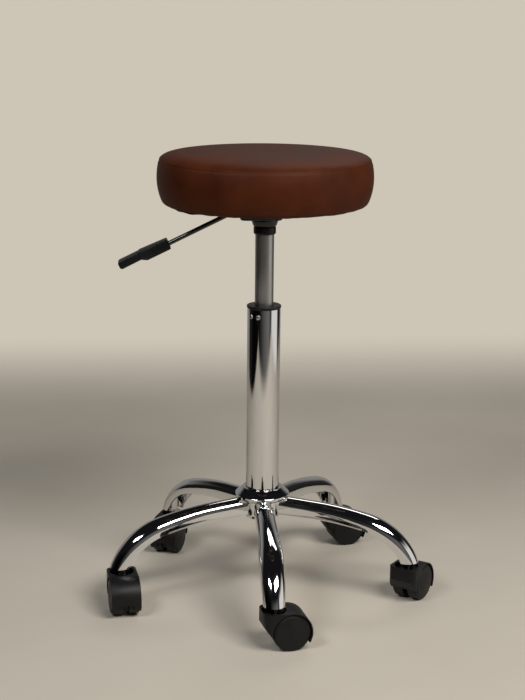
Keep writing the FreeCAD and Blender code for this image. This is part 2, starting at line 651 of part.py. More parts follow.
def build_plate():
    plate = rounded_slab(PLATE_SIDE, PLATE_SIDE, PLATE_CORNER, SEAT_PLATE_BOTTOM, BOARD_BOTTOM)
    hexagon = [V(SCREW_HEAD_RADIUS * cos(60 * k), SCREW_HEAD_RADIUS * sin(60 * k), 0)
               for k in range(6)]
    head = Part.Face(Part.makePolygon(hexagon + hexagon[:1])).extrude(V(0, 0, SCREW_HEAD_HEIGHT))
    head.translate(V(0, 0, SEAT_PLATE_BOTTOM - SCREW_HEAD_HEIGHT))
    shank = disc(SCREW_RADIUS, SEAT_PLATE_BOTTOM - 1, SEAT_PLATE_BOTTOM + SCREW_LENGTH)
    screw = head.fuse(shank)
    barrel = ring(TNUT_BARREL_RADIUS, SCREW_RADIUS + SEATED, BOARD_BOTTOM + 2, BOARD_TOP)
    flange = ring(TNUT_FLANGE_RADIUS, SCREW_RADIUS + SEATED, BOARD_TOP, BOARD_TOP + TNUT_FLANGE)
    nut = barrel.fuse(flange).removeSplitter()
    hole = disc(SCREW_RADIUS + 0.3, SEAT_PLATE_BOTTOM - 1, BOARD_BOTTOM + 1)
    for place in screw_places():
        plate = plate.cut(moved(hole, place))
    export("seat_plate", plate)
    export("plate_screws", Part.makeCompound([moved(screw, p) for p in screw_places()]))
    export("t_nuts", Part.makeCompound([moved(nut, p) for p in screw_places()]))


# ---- lever ------------------------------------------------------------------------------
def lever_frame(along, above):
    """Point on the lever's drooping line: distance past the grip's mouth, and above it."""
    rise = -(LEVER_REACH - LEVER_BEND_AT) * math.tan(math.radians(LEVER_DROOP))
    mouth = V(-LEVER_REACH, 0, LEVER_AXIS + rise)
    out = V(-cos(LEVER_DROOP), 0, -sin(LEVER_DROOP))
    normal = V(-sin(LEVER_DROOP), 0, cos(LEVER_DROOP))
    return mouth + out * along + normal * above


def build_lever():
    """Bent rod whose flat tongue lies over the valve pin."""
    start = V(LEVER_PIVOT_X + 4, 0, LEVER_AXIS)
    bend = V(-LEVER_BEND_AT, 0, LEVER_AXIS)
    tangent = LEVER_BEND_RADIUS * math.tan(math.radians(LEVER_DROOP / 2))
    before = bend + V(tangent, 0, 0)
    after = bend + V(-cos(LEVER_DROOP), 0, -sin(LEVER_DROOP)) * tangent
    middle = V(before.x - LEVER_BEND_RADIUS * sin(LEVER_DROOP / 2), 0,
               before.z - LEVER_BEND_RADIUS * (1 - cos(LEVER_DROOP / 2)))
    path = Part.Wire([
        Part.makeLine(start, before),
        Part.Arc(before, middle, after).toShape(),
        Part.makeLine(after, lever_frame(GRIP_BORE_DEPTH - 0.5, 0)),
    ])
    section = Part.Wire(Part.makeCircle(LEVER_RADIUS, start, V(-1, 0, 0)))
    rod = path.makePipeShell([section], True, False)
    pin_top = CYLINDER_TOP + VALVE_PIN_PROUD
    tongue_low = pin_top + FACE_GAP
    tongue = block(V(LEVER_PIVOT_X + 2, -LEVER_TONGUE_WIDTH / 2, tongue_low),
                   V(LEVER_TONGUE_OVERREACH, LEVER_TONGUE_WIDTH / 2,
                     tongue_low + LEVER_TONGUE_THICKNESS))
    rod = rod.fuse(tongue)
    eye = Part.makeCylinder(LEVER_PIN_RADIUS + RUNNING, 20,
                            V(LEVER_PIVOT_X, -10, LEVER_AXIS), V(0, 1, 0))
    export("lever_rod", largest(rod.cut(eye)))


def build_grip():
    """Moulded paddle: a block round the rod's end that steps down to a finger rest."""
    block_side = [
        lever_frame(0, -GRIP_BELOW),
        lever_frame(GRIP_BLOCK_LENGTH, -GRIP_BELOW),
        lever_frame(GRIP_WAIST, -FINGER_BELOW),
        lever_frame(GRIP_WAIST, FINGER_TOP),
        lever_frame(GRIP_WAIST - 2, GRIP_TOP_STEP),
        lever_frame(0, GRIP_TOP),
    ]
    finger_side = [
        lever_frame(GRIP_WAIST - 3, -FINGER_BELOW),
        lever_frame(GRIP_LENGTH, -FINGER_BELOW - 0.6),
        lever_frame(GRIP_LENGTH, FINGER_TOP),
        lever_frame(GRIP_WAIST - 3, FINGER_TOP),
    ]
    body = Part.Face(Part.makePolygon(block_side + block_side[:1])).extrude(V(0, GRIP_WIDTH, 0))
    body = moved(body, V(0, -GRIP_WIDTH / 2, 0))
    finger = Part.Face(Part.makePolygon(finger_side + finger_side[:1]))
    finger = moved(finger.extrude(V(0, FINGER_WIDTH, 0)), V(0, -FINGER_WIDTH / 2, 0))
    tip = [e for e in finger.Edges
           if e.CenterOfMass.distanceToPoint(lever_frame(GRIP_LENGTH, (FINGER_TOP - FINGER_BELOW) / 2)) < 8
           and abs(e.tangentAt(e.FirstParameter).y) > 0.9]
    finger = finger.makeFillet(FINGER_TIP_RADIUS, tip)
    grip = body.fuse(finger).removeSplitter()
    bore_axis = lever_frame(GRIP_BORE_DEPTH, 0) - lever_frame(-1, 0)
    bore = Part.makeCylinder(LEVER_RADIUS + SEATED, GRIP_BORE_DEPTH + 1, lever_frame(-1, 0), bore_axis)
    export("lever_grip", largest(grip.cut(bore)))


# ---- seat -------------------------------------------------------------------------------
def seat_outline():
    """Half section of the upholstered seat, from the crown round to the turned hem."""
    def at(inset, height):
        return V(SEAT_RADIUS - inset, 0, SEAT_BOTTOM + height)

    shoulder = at(SHOULDER_INSET, SHOULDER_HEIGHT)
    shoulder_middle = at(SEAM_INSET + (SHOULDER_INSET - SEAM_INSET) * 0.36,
                         SEAM_HEIGHT + (SHOULDER_HEIGHT - SEAM_HEIGHT) * 0.69)
    seam = at(SEAM_INSET, SEAM_HEIGHT)
    widest = at(0, SEAT_WIDEST)
    bottom_edge = at(BOTTOM_EDGE_INSET, BOTTOM_EDGE_HEIGHT)
    bottom_middle = at(BOTTOM_EDGE_INSET + 2.2, BOTTOM_EDGE_HEIGHT * 0.28)
    bottom = at(BOTTOM_INSET, 0)
    return [
        dome(SEAT_RADIUS - SHOULDER_INSET, shoulder.z, SEAT_HEIGHT - SHOULDER_HEIGHT),
        Part.Arc(shoulder, shoulder_middle, seam).toShape(),
        Part.Arc(seam, widest, bottom_edge).toShape(),
        Part.Arc(bottom_edge, bottom_middle, bottom).toShape(),
        Part.makeLine(bottom, at(SEAT_RADIUS, 0)),
    ]


def seat_section(inset=0.0):
    """Half section as a face, drawn in evenly by an inset."""
    half = seat_outline()
    mirrored = [edge.mirror(ORIGIN, V(1, 0, 0)) for edge in half]
    whole = Part.Face(Part.Wire(Part.__sortEdges__(half + mirrored)))
    if inset:
        whole = whole.makeOffset2D(-inset)
    reach = SEAT_RADIUS + 20
    right = Part.Face(Part.makePolygon([V(0, 0, 0), V(reach, 0, 0), V(reach, 0, 1500),
                                        V(0, 0, 1500), V(0, 0, 0)]))
    return whole.common(right).Faces[0]


def build_seat():
    outside = seat_section().revolve(ORIGIN, UP, 360)
    inside = seat_section(COVER_THICKNESS).revolve(ORIGIN, UP, 360)
    cover = outside.cut(inside).cut(disc(HEM_RADIUS, SEAT_BOTTOM - 1, BOARD_BOTTOM + 1))
    export("seat_cover", largest(cover))
    board_radius = SEAT_RADIUS - BOARD_EDGE_GAP
    board_space = disc(board_radius, BOARD_BOTTOM - 1, BOARD_TOP)
    foam = inside.cut(board_space)
    board = disc(board_radius, BOARD_BOTTOM, BOARD_TOP).common(inside)
    for place in screw_places():
        board = board.cut(moved(disc(TNUT_BARREL_RADIUS, BOARD_BOTTOM - 1, BOARD_TOP + 1), place))
        foam = foam.cut(moved(disc(TNUT_FLANGE_RADIUS, BOARD_TOP - 1, BOARD_TOP + TNUT_FLANGE), place))
    export("seat_board", largest(board))
    export("seat_foam", largest(foam))
    window = PLATE_SIDE + 2 * DUST_COVER_WINDOW_GAP
    dust_low = SEAT_BOTTOM - DUST_COVER_THICKNESS
    dust = disc(HEM_RADIUS + DUST_COVER_OVERLAP, dust_low, SEAT_BOTTOM)
    opening = rounded_slab(window, window, PLATE_CORNER, dust_low - 1, SEAT_BOTTOM + 1)
    export("dust_cover", dust.cut(opening))
    staple_radius = HEM_RADIUS + DUST_COVER_OVERLAP / 2
    crown = block(V(staple_radius - STAPLE_WIRE / 2, -STAPLE_CROWN / 2, dust_low - STAPLE_WIRE),
                  V(staple_radius + STAPLE_WIRE / 2, STAPLE_CROWN / 2, dust_low))
    leg = block(V(staple_radius - STAPLE_WIRE / 2, -STAPLE_CROWN / 2, dust_low - STAPLE_WIRE),
                V(staple_radius + STAPLE_WIRE / 2, -STAPLE_CROWN / 2 + STAPLE_WIRE,
                  dust_low + STAPLE_LEG))
    staple = crown.fuse([leg, leg.mirror(ORIGIN, V(0, 1, 0))]).removeSplitter()
    export("staples", Part.makeCompound(spaced_round(staple, STAPLE_COUNT)))


# ---- casters ----------------------------------------------------------------------------
def caster_hood():
    """Hood of a caster that trails along +X, its stem on the Z axis."""
    rear = V(CASTER_TRAIL + HOOD_OUTER * cos(HOOD_REAR_ANGLE), 0,
             WHEEL_RADIUS - HOOD_OUTER * sin(HOOD_REAR_ANGLE))
    crest = V(CASTER_TRAIL, 0, HOOD_TOP)
    over = V(CASTER_TRAIL + HOOD_OUTER * cos(45), 0, WHEEL_RADIUS + HOOD_OUTER * sin(45))
    front_top = V(-NECK_RADIUS, 0, HOOD_TOP)
    front_low = V(-NECK_RADIUS, 0, HOOD_TOP - HOOD_SKIRT_DROP)
    lip = V(CASTER_TRAIL - HOOD_INNER * cos(HOOD_LIP_ANGLE), 0,
            WHEEL_RADIUS - HOOD_INNER * sin(HOOD_LIP_ANGLE))
    outline = Part.Wire([
        Part.Arc(rear, over, crest).toShape(),
        Part.makeLine(crest, front_top),
        Part.makeLine(front_top, front_low),
        Part.makeLine(front_low, lip),
        Part.makeLine(lip, rear),
    ])
    body = Part.Face(outline).extrude(V(0, 2 * HOOD_HALF_WIDTH, 0))
    body.translate(V(0, -HOOD_HALF_WIDTH, 0))
    front_edges = [e for e in body.Edges if abs(e.tangentAt(e.FirstParameter).z) > 0.9
                   and e.CenterOfMass.x < -NECK_RADIUS + 0.1]
    body = body.makeFillet(HOOD_FRONT_CORNER, front_edges)
    body = body.fuse(disc(NECK_RADIUS, front_low.z + HOOD_WALL, NECK_TOP))
    cavity = Part.makeCylinder(HOOD_INNER, HOOD_HALF_WIDTH,
                               V(CASTER_TRAIL, HOOD_WEB / 2, WHEEL_RADIUS), V(0, 1, 0))
    hood = body.cut([cavity, cavity.mirror(ORIGIN, V(0, 1, 0))])
    notch_top = WHEEL_RADIUS - HOOD_OUTER * sin(HOOD_NOTCH_ANGLE)
    notch = block(V(CASTER_TRAIL + HOOD_OUTER * 0.75, -HOOD_NOTCH_WIDTH / 2, 0),
                  V(CASTER_TRAIL + HOOD_OUTER + 5, HOOD_NOTCH_WIDTH / 2, notch_top))
    hood = hood.cut(notch)
    hood = hood.cut(disc(NECK_RECESS_RADIUS, NECK_TOP - NECK_RECESS_DEPTH, NECK_TOP + 1))
    hood = hood.cut(disc(STEM_RADIUS + RUNNING, STEM_BOTTOM - FACE_GAP, NECK_TOP + 1))
    axle_hole = Part.makeCylinder(AXLE_RADIUS, 40, V(CASTER_TRAIL, -20, WHEEL_RADIUS), V(0, 1, 0))
    return largest(hood.cut(axle_hole))


def caster_wheel():
    """Left wheel on the axle line of a caster that trails along +X."""
    crown = dome(WHEEL_FACE_RADIUS, WHEEL_OUTER_FACE, WHEEL_CROWN)
    bore = AXLE_RADIUS + RUNNING
    blind = AXLE_HALF_LENGTH + FACE_GAP
    pocket = WHEEL_OUTER_FACE - WHEEL_WEB
    rim_inner = WHEEL_RADIUS - WHEEL_RIM_WALL
    points = [
        (0, WHEEL_OUTER_FACE + WHEEL_CROWN),
        (0, blind),
        (bore, blind),
        (bore, WHEEL_INNER_FACE),
        (WHEEL_HUB_RADIUS, WHEEL_INNER_FACE),
        (WHEEL_HUB_RADIUS, pocket),
        (rim_inner, pocket),
        (rim_inner, WHEEL_INNER_FACE),
        (WHEEL_RADIUS - WHEEL_EDGE, WHEEL_INNER_FACE),
        (WHEEL_RADIUS, WHEEL_INNER_FACE + WHEEL_EDGE),
        (WHEEL_RADIUS, WHEEL_OUTER_FACE - 2 * WHEEL_EDGE),
        (WHEEL_RADIUS - WHEEL_EDGE, WHEEL_OUTER_FACE - WHEEL_EDGE / 2),
        (WHEEL_FACE_RADIUS + 0.4, WHEEL_OUTER_FACE - WHEEL_EDGE / 2),
        (WHEEL_FACE_RADIUS, WHEEL_OUTER_FACE),
    ]
    outline = Part.Wire([crown, Part.makePolygon([V(r, 0, z) for r, z in points])])
    wheel = Part.Face(outline).revolve(ORIGIN, UP, 360)
    wheel = turned_about(wheel, -90, V(1, 0, 0))
    return moved(wheel, V(CASTER_TRAIL, 0, WHEEL_RADIUS))


def placed(shape, leg_angle, heading):
    """Copy of a caster piece turned to its heading at the end of its leg."""
    stem = V(STEM_CIRCLE * cos(leg_angle), STEM_CIRCLE * sin(leg_angle), 0)
    return moved(turned_about(shape, heading), stem)


def build_casters():
    hood = caster_hood()
    left = caster_wheel()
    right = left.mirror(ORIGIN, V(0, 1, 0))
    axle = Part.makeCylinder(AXLE_RADIUS, 2 * AXLE_HALF_LENGTH,
                             V(CASTER_TRAIL, -AXLE_HALF_LENGTH, WHEEL_RADIUS), V(0, 1, 0))
    for number, (angle, heading) in enumerate(zip(LEG_ANGLES, CASTER_HEADINGS), 1):
        export("caster_hood_%d" % number, placed(hood, angle, heading))
        export("caster_axle_%d" % number, placed(axle, angle, heading))
        export("wheel_left_%d" % number, placed(left, angle, heading))
        export("wheel_right_%d" % number, placed(right, angle, heading))


def build_stems():
    """Caster stems and the spring rings that hold them in the leg sockets."""
    ring_low = LEG_END + GRIP_RING_OFFSET
    groove = STEM_RADIUS - GRIP_RING_DEPTH
    stem_top = STEM_BOTTOM + STEM_LENGTH
    stem = turned([
        (0, STEM_BOTTOM),
        (STEM_RADIUS, STEM_BOTTOM),
        (STEM_RADIUS, NECK_TOP - NECK_RECESS_DEPTH + 0.1),
        (STEM_COLLAR_RADIUS, NECK_TOP - NECK_RECESS_DEPTH + 0.1),
        (STEM_COLLAR_RADIUS, LEG_END),
        (STEM_RADIUS, LEG_END),
        (STEM_RADIUS, ring_low),
        (groove, ring_low),
        (groove, ring_low + GRIP_RING_HEIGHT),
        (STEM_RADIUS, ring_low + GRIP_RING_HEIGHT),
        (STEM_RADIUS, stem_top - 1.5),
        (STEM_RADIUS - 1.5, stem_top),
        (0, stem_top),
    ])
    grip_ring = ring(STEM_RADIUS + GRIP_RING_PROUD, groove, ring_low, ring_low + GRIP_RING_HEIGHT)
    for name, piece in (("caster_stems", stem), ("stem_grip_rings", grip_ring)):
        export(name, Part.makeCompound([placed(piece, a, 0) for a in LEG_ANGLES]))


os.makedirs("parts", exist_ok=True)
build_legs()
build_hub()
build_column()
build_rod()
build_cylinder()
build_mechanism()
build_plate()
build_lever()
build_grip()
build_seat()
build_stems()
build_casters()
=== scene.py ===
"""Looks of a gas-lift stool: a round vinyl seat on a chromed five-leg base with twin-wheel casters.

Pieces are shaped in millimetres, scaled to metres when they are finished, and ride on CAD bodies.
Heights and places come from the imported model; what only the looks need is a field of each class.
"""
import json
import logging
import math
from dataclasses import dataclass
from enum import Enum
from typing import Callable, Iterable, Sequence

import bmesh
import bpy
from mathutils import Matrix, Vector, noise


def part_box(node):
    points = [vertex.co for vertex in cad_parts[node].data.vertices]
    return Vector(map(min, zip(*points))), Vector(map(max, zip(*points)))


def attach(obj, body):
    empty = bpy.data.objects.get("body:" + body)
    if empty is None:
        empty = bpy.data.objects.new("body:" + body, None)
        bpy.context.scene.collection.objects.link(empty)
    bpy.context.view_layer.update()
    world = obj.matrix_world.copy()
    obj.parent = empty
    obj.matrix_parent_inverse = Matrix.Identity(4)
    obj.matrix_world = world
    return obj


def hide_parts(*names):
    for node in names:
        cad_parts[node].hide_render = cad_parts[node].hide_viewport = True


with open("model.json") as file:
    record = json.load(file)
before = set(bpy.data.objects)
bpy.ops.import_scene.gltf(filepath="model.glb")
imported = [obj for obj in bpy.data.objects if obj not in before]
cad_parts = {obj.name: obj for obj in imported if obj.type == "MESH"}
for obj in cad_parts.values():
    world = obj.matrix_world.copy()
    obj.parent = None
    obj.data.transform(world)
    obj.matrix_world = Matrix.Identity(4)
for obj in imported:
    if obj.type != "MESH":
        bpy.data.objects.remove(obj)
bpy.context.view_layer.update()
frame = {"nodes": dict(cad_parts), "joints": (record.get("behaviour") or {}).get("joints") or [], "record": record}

LOG = logging.getLogger("stool")
MM = 0.001
TURN = 2 * math.pi
Mesh = bmesh.types.BMesh
Outline = list[tuple[float, float]]
Socket = bpy.types.NodeSocket


# ---- nodes ------------------------------------------------------------------------------
def linear(code: str) -> tuple[float, float, float, float]:
    """Turn an sRGB hex colour into linear RGBA.

    Args:
        code: six hex digits.

    Returns:
        The colour as Blender's sockets want it.
    """
    parts = [int(code[k:k + 2], 16) / 255 for k in (0, 2, 4)]
    red, green, blue = [v / 12.92 if v <= 0.04045 else ((v + 0.055) / 1.055) ** 2.4 for v in parts]
    return red, green, blue, 1.0


def add(tree: bpy.types.NodeTree, kind: str, settings: dict | None = None,
        links: dict | None = None) -> bpy.types.Node:
    """Add one node.

    Args:
        tree: the node tree that gets it.
        kind: the node's type name.
        settings: attribute, input name or input index to value.
        links: input name or index to the output socket that feeds it.

    Returns:
        The new node.
    """
    node = tree.nodes.new(kind)
    for key, value in (settings or {}).items():
        if isinstance(key, str) and hasattr(node, key):
            setattr(node, key, value)
        else:
            node.inputs[key].default_value = value
    for key, socket in (links or {}).items():
        tree.links.new(socket, node.inputs[key])
    return node


class Coat:
    """A material in the making: a Principled shader with patterns in real sizes."""

    def __init__(self, name: str) -> None:
        """Start a material.

        Args:
            name: the material's name.
        """
        self.material = bpy.data.materials.new(name)
        self.material.use_nodes = True
        self.tree = self.material.node_tree
        self.shader = self.tree.nodes["Principled BSDF"]
        self.place = add(self.tree, "ShaderNodeTexCoord").outputs["Object"]

    def noise(self, size: float, detail: float = 2.0, stretch: Sequence[float] = (1, 1, 1)) -> Socket:
        """Add a noise whose blotches have a real size.

        Args:
            size: blotch size in metres.
            detail: octaves.
            stretch: scale along each axis; a small number draws blotches out.

        Returns:
            The noise value.
        """
        spread = add(self.tree, "ShaderNodeMapping", {"Scale": tuple(stretch)}, {"Vector": self.place})
        pattern = add(self.tree, "ShaderNodeTexNoise", {"Scale": 1 / size, "Detail": detail},
                      {"Vector": spread.outputs["Vector"]})
        return pattern.outputs["Fac"]

    def spread(self, value: Socket, low: float, high: float) -> Socket:
        """Spread a noise's middle range between two values.

        Args:
            value: the value to spread.
            low: result for a dark blotch.
            high: result for a bright blotch.

        Returns:
            The spread value.
        """
        return add(self.tree, "ShaderNodeMapRange", {"From Min": 0.35, "From Max": 0.65, "To Min": low,
                                                     "To Max": high}, {"Value": value}).outputs["Result"]

    def colours(self, factor: Socket, first: str, second: str) -> Socket:
        """Blend two hex colours.

        Args:
            factor: 0 for the first colour, 1 for the second.
            first: sRGB hex.
            second: sRGB hex.

        Returns:
            The blended colour.
        """
        ramp = add(self.tree, "ShaderNodeValToRGB", None, {"Fac": factor})
        ramp.color_ramp.elements[0].color = linear(first)
        ramp.color_ramp.elements[1].color = linear(second)
        return ramp.outputs["Color"]

    def bump(self, height: Socket, depth: float, under: Socket | None = None) -> Socket:
        """Add a bump of a real depth.

        Args:
            height: pattern from 0 to 1.
            depth: height of the pattern in metres.
            under: normal that this bump lies on.

        Returns:
            The bumped normal.
        """
        links = {"Height": height, "Normal": under} if under else {"Height": height}
        return add(self.tree, "ShaderNodeBump", {"Distance": depth}, links).outputs["Normal"]

    def feed(self, **sockets: Socket) -> None:
        """Link sockets to the shader; an underscore stands for a space."""
        for name, socket in sockets.items():
            self.tree.links.new(socket, self.shader.inputs[name.replace("_", " ")])

    def fix(self, **values: float | tuple) -> None:
        """Set constants on the shader; an underscore stands for a space."""
        for name, value in values.items():
            self.shader.inputs[name.replace("_", " ")].default_value = value


# ---- finishes ---------------------------------------------------------------------------
@dataclass(frozen=True)
class Metal:
    """Bare or plated metal: its colour is all reflection, so roughness is what tells the finish."""

    name: str
    colour: str
    roughness: float
    smudge: float = 0.04
    smudge_size: float = 30 * MM
    ripple: float = 0.0
    brush: tuple[float, float, float] | None = None
    brush_depth: float = 0.0

    def build(self) -> bpy.types.Material:
        """Make the material."""
        coat = Coat(self.name)
        smudges = coat.noise(self.smudge_size, 4.0)
        coat.feed(Roughness=coat.spread(smudges, self.roughness, self.roughness + self.smudge))
        coat.fix(Base_Color=linear(self.colour), Metallic=1.0)
        normal = coat.bump(coat.noise(16 * MM, 1.0), self.ripple) if self.ripple else None
        if self.brush:
            normal = coat.bump(coat.noise(1.1 * MM, 2.0, self.brush), self.brush_depth, normal)
        if normal:
            coat.feed(Normal=normal)
        return coat.material


@dataclass(frozen=True)
class Moulded:
    """Moulded or painted black part: a fine texture, with scuffs that are greyer and duller."""

    name: str
    colour: str
    worn: str
    roughness: float
    grain: float = 0.9 * MM         # the mould's texture is nearer 0.3 mm; drawn coarser so that it shows
    grain_depth: float = 0.03 * MM
    scuff: float = 0.12
    gloss: float = 0.0              # weight of a clear coat

    def build(self) -> bpy.types.Material:
        """Make the material."""
        coat = Coat(self.name)
        scuffs = coat.noise(22 * MM, 5.0)
        coat.feed(Base_Color=coat.colours(coat.spread(scuffs, 0.0, 1.0), self.colour, self.worn),
                  Roughness=coat.spread(scuffs, self.roughness, self.roughness + self.scuff))
        coat.fix(IOR=1.5, Specular_IOR_Level=0.28, Coat_Weight=self.gloss, Coat_Roughness=0.08)
        coat.feed(Normal=coat.bump(coat.noise(self.grain, 1.0), self.grain_depth))
        return coat.material


@dataclass(frozen=True)
class Vinyl:
    """Upholstery vinyl on knitted backing: embossed pebble grain with a satin top coat."""

    name: str = "seat_vinyl"
    deep: str = "3a1708"
    light: str = "4a220e"
    pebble: float = 1.8 * MM        # the real grain is about 1 mm; drawn coarser so that it shows
    pebble_depth: float = 0.05 * MM
    crease_depth: float = 0.25 * MM
    roughness: float = 0.48

    def build(self) -> bpy.types.Material:
        """Make the material."""
        coat = Coat(self.name)
        blotch = coat.noise(70 * MM, 4.0)
        coat.feed(Base_Color=coat.colours(coat.spread(blotch, 0.0, 1.0), self.deep, self.light),
                  Roughness=coat.spread(blotch, self.roughness, self.roughness + 0.08))
        coat.fix(IOR=1.5, Specular_IOR_Level=0.1, Sheen_Weight=0.0, Sheen_Roughness=0.4)
        wander = add(coat.tree, "ShaderNodeTexNoise", {"Scale": 1 / (5 * MM), "Detail": 2.0},
                     {"Vector": coat.place})
        warp = add(coat.tree, "ShaderNodeVectorMath", {"operation": "MULTIPLY_ADD", 1: (0.9 * MM,) * 3},
                   {0: wander.outputs["Color"], 2: coat.place})
        pebbles = add(coat.tree, "ShaderNodeTexVoronoi",
                      {"feature": "SMOOTH_F1", "Scale": 1 / self.pebble, "Smoothness": 0.6},
                      {"Vector": warp.outputs["Vector"]})
        normal = coat.bump(pebbles.outputs["Distance"], self.pebble_depth)
        coat.feed(Normal=coat.bump(coat.noise(11 * MM, 3.0), self.crease_depth, normal))
        return coat.material


@dataclass(frozen=True)
class Woven:
    """Thin lining cloth or cut foam: matte, with a fine crossed or open texture."""

    name: str
    colour: str
    lint: str
    thread: float = 1.0 * MM        # real threads are 0.4 mm apart; drawn coarser so that they show

    def build(self) -> bpy.types.Material:
        """Make the material."""
        coat = Coat(self.name)
        lint = coat.noise(6 * MM, 5.0)
        coat.feed(Base_Color=coat.colours(coat.spread(lint, 0.0, 1.0), self.colour, self.lint))
        coat.fix(Roughness=0.9, Sheen_Weight=0.25, Sheen_Roughness=0.5, IOR=1.45)
        waves = [add(coat.tree, "ShaderNodeTexWave", {"bands_direction": way, "Scale": 0.314 / self.thread,
                                                      "Distortion": 0.4}, {"Vector": coat.place})
                 for way in ("X", "Y")]
        height = add(coat.tree, "ShaderNodeMath", {"operation": "MAXIMUM"},
                     {0: waves[0].outputs["Fac"], 1: waves[1].outputs["Fac"]})
        coat.feed(Normal=coat.bump(height.outputs["Value"], 0.1 * MM))
        return coat.material


@dataclass(frozen=True)
class Plywood:
    """Birch plywood: pale face with a long, faint figure."""

    name: str = "birch_plywood"

    def build(self) -> bpy.types.Material:
        """Make the material."""
        coat = Coat(self.name)
        figure = coat.noise(4 * MM, 4.0, (0.08, 1, 1))
        coat.feed(Base_Color=coat.colours(coat.spread(figure, 0.0, 1.0), "a9814f", "c9a673"),
                  Normal=coat.bump(figure, 0.05 * MM))
        coat.fix(Roughness=0.65, IOR=1.5)
        return coat.material


class Finish(Enum):
    """Named finishes: the record's slot and the maker of the material."""

    # Decorative chrome over nickel: almost a mirror, faintly wavy from the polishing wheel.
    CHROME = ("chrome", Metal("chrome_plate", "dededf", 0.03, 0.035, ripple=0.006 * MM))
    # Ground and brushed steel tube: soft streaks run up the tube.
    GROUND_STEEL = ("satin_steel", Metal("ground_steel", "a9a7a6", 0.32, 0.08, brush=(1, 1, 0.02),
                                         brush_depth=0.01 * MM))
    # Zinc-plated small parts: a softer shine than chrome.
    ZINC = ("bright_steel", Metal("zinc_plate", "c6c6c4", 0.20, 0.12, 8 * MM))
    # Semi-gloss black enamel on pressed steel: faint orange peel.
    ENAMEL = ("black_steel", Moulded("black_enamel", "0b0b0c", "141415", 0.34, 2.2 * MM, 0.03 * MM,
                                     gloss=0.3))
    # Black lacquer on the lever's rod: a wet-looking shine.
    LACQUER = ("black_steel", Moulded("black_lacquer", "060607", "0c0c0d", 0.18, 4 * MM, 0.01 * MM, 0.06,
                                      0.8))
    # Glass-filled nylon of the hoods: dull black with a spark-eroded texture.
    NYLON = ("black_nylon", Moulded("hood_nylon", "070707", "0f0f10", 0.42))
    # Wheel nylon: a little greyer, and scuffed by the floor.
    TREAD = ("black_nylon", Moulded("wheel_nylon", "090909", "141414", 0.42, 0.9 * MM, 0.02 * MM, 0.18))
    # Polypropylene of the grip and bushes: satin black.
    PLASTIC = ("black_plastic", Moulded("black_polypropylene", "0b0b0c", "161617", 0.34, scuff=0.1))
    # Vulcanised rubber: very dull, with a bloom.
    RUBBER = ("black_rubber", Moulded("black_rubber", "0e0e0e", "1c1b1a", 0.75, 1.4 * MM, 0.05 * MM))
    VINYL = ("brown_vinyl", Vinyl())
    # Non-woven lining: black, lint-flecked.
    LINING = ("black_cloth", Woven("black_lining", "060606", "0f0f10"))
    # Cut polyurethane foam: pale straw colour.
    FOAM = ("foam", Woven("cut_foam", "c9b27c", "d8c592", 1.6 * MM))
    WOOD = ("plywood", Plywood())

    @property
    def slot(self) -> str:
        """The record's slot of this finish."""
        return self.value[0]

    def material(self) -> bpy.types.Material:
        """Material of this finish, made once."""
        maker = self.value[1]
        return bpy.data.materials.get(maker.name) or maker.build()


# ---- mesh helpers -----------------------------------------------------------------------
def level(node: str, top: bool = False) -> float:
    """Height of a CAD node's underside or top in millimetres.

    Args:
        node: the node's name.
        top: its top instead of its underside.

    Returns:
        The height.
    """
    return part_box(node)[top][2] / MM


def span(node: str) -> tuple[float, float]:
    """Heights of a CAD node's underside and top in millimetres."""
    return level(node), level(node, top=True)


def joint_place(name: str) -> Vector:
    """Centre of a joint in millimetres.

    Args:
        name: the joint's name.

    Returns:
        Its place.
    """
    return Vector(next(j for j in frame["joints"] if j["name"] == name)["pos_m"]) / MM


def rounded(corners: Outline, radius: float, steps: int = 3, closed: bool = False) -> Outline:
    """Round the corners of an outline.

    Args:
        corners: (radius, height) corners.
        radius: fillet size, shortened where a side is too short for it.
        steps: segments in each fillet.
        closed: round the ends too, and close the outline.

    Returns:
        The rounded outline.
    """
    points = [Vector(c) for c in corners]
    if closed:
        points = [points[-1], *points, points[0]]
    result = []
    for before, here, after in zip(points, points[1:], points[2:]):
        back, ahead = before - here, after - here
        reach = min(radius, back.length * 0.45, ahead.length * 0.45)
        start, end = here + back.normalized() * reach, here + ahead.normalized() * reach
        for step in range(steps + 1):
            t = step / steps
            result.append(tuple(start * (1 - t) ** 2 + here * (2 * t * (1 - t)) + end * t ** 2))
    return result + result[:1] if closed else [tuple(points[0]), *result, tuple(points[-1])]


def arc(start: Sequence[float], middle: Sequence[float], end: Sequence[float], steps: int) -> Outline:
    """Points on the arc through three points, without its end.

    Args:
        start: first point.
        middle: a point on the arc.
        end: last point.
        steps: number of points.

    Returns:
        The points from the start on.
    """
    (ax, ay), (bx, by), (cx, cy) = start, middle, end
    d = 2 * (ax * (by - cy) + bx * (cy - ay) + cx * (ay - by))
    a2, b2, c2 = ax * ax + ay * ay, bx * bx + by * by, cx * cx + cy * cy
    ox = (a2 * (by - cy) + b2 * (cy - ay) + c2 * (ay - by)) / d
    oy = (a2 * (cx - bx) + b2 * (ax - cx) + c2 * (bx - ax)) / d
    first, mid, last = [math.atan2(y - oy, x - ox) for x, y in (start, middle, end)]
    mid, last = [first + (angle - first + math.pi) % TURN - math.pi for angle in (mid, last)]
    if (mid - first) * (last - first) < 0:
        last += math.copysign(TURN, mid - first)
    radius = math.hypot(ax - ox, ay - oy)
    turns = [first + (last - first) * step / steps for step in range(steps)]
    return [(ox + radius * math.cos(t), oy + radius * math.sin(t)) for t in turns]


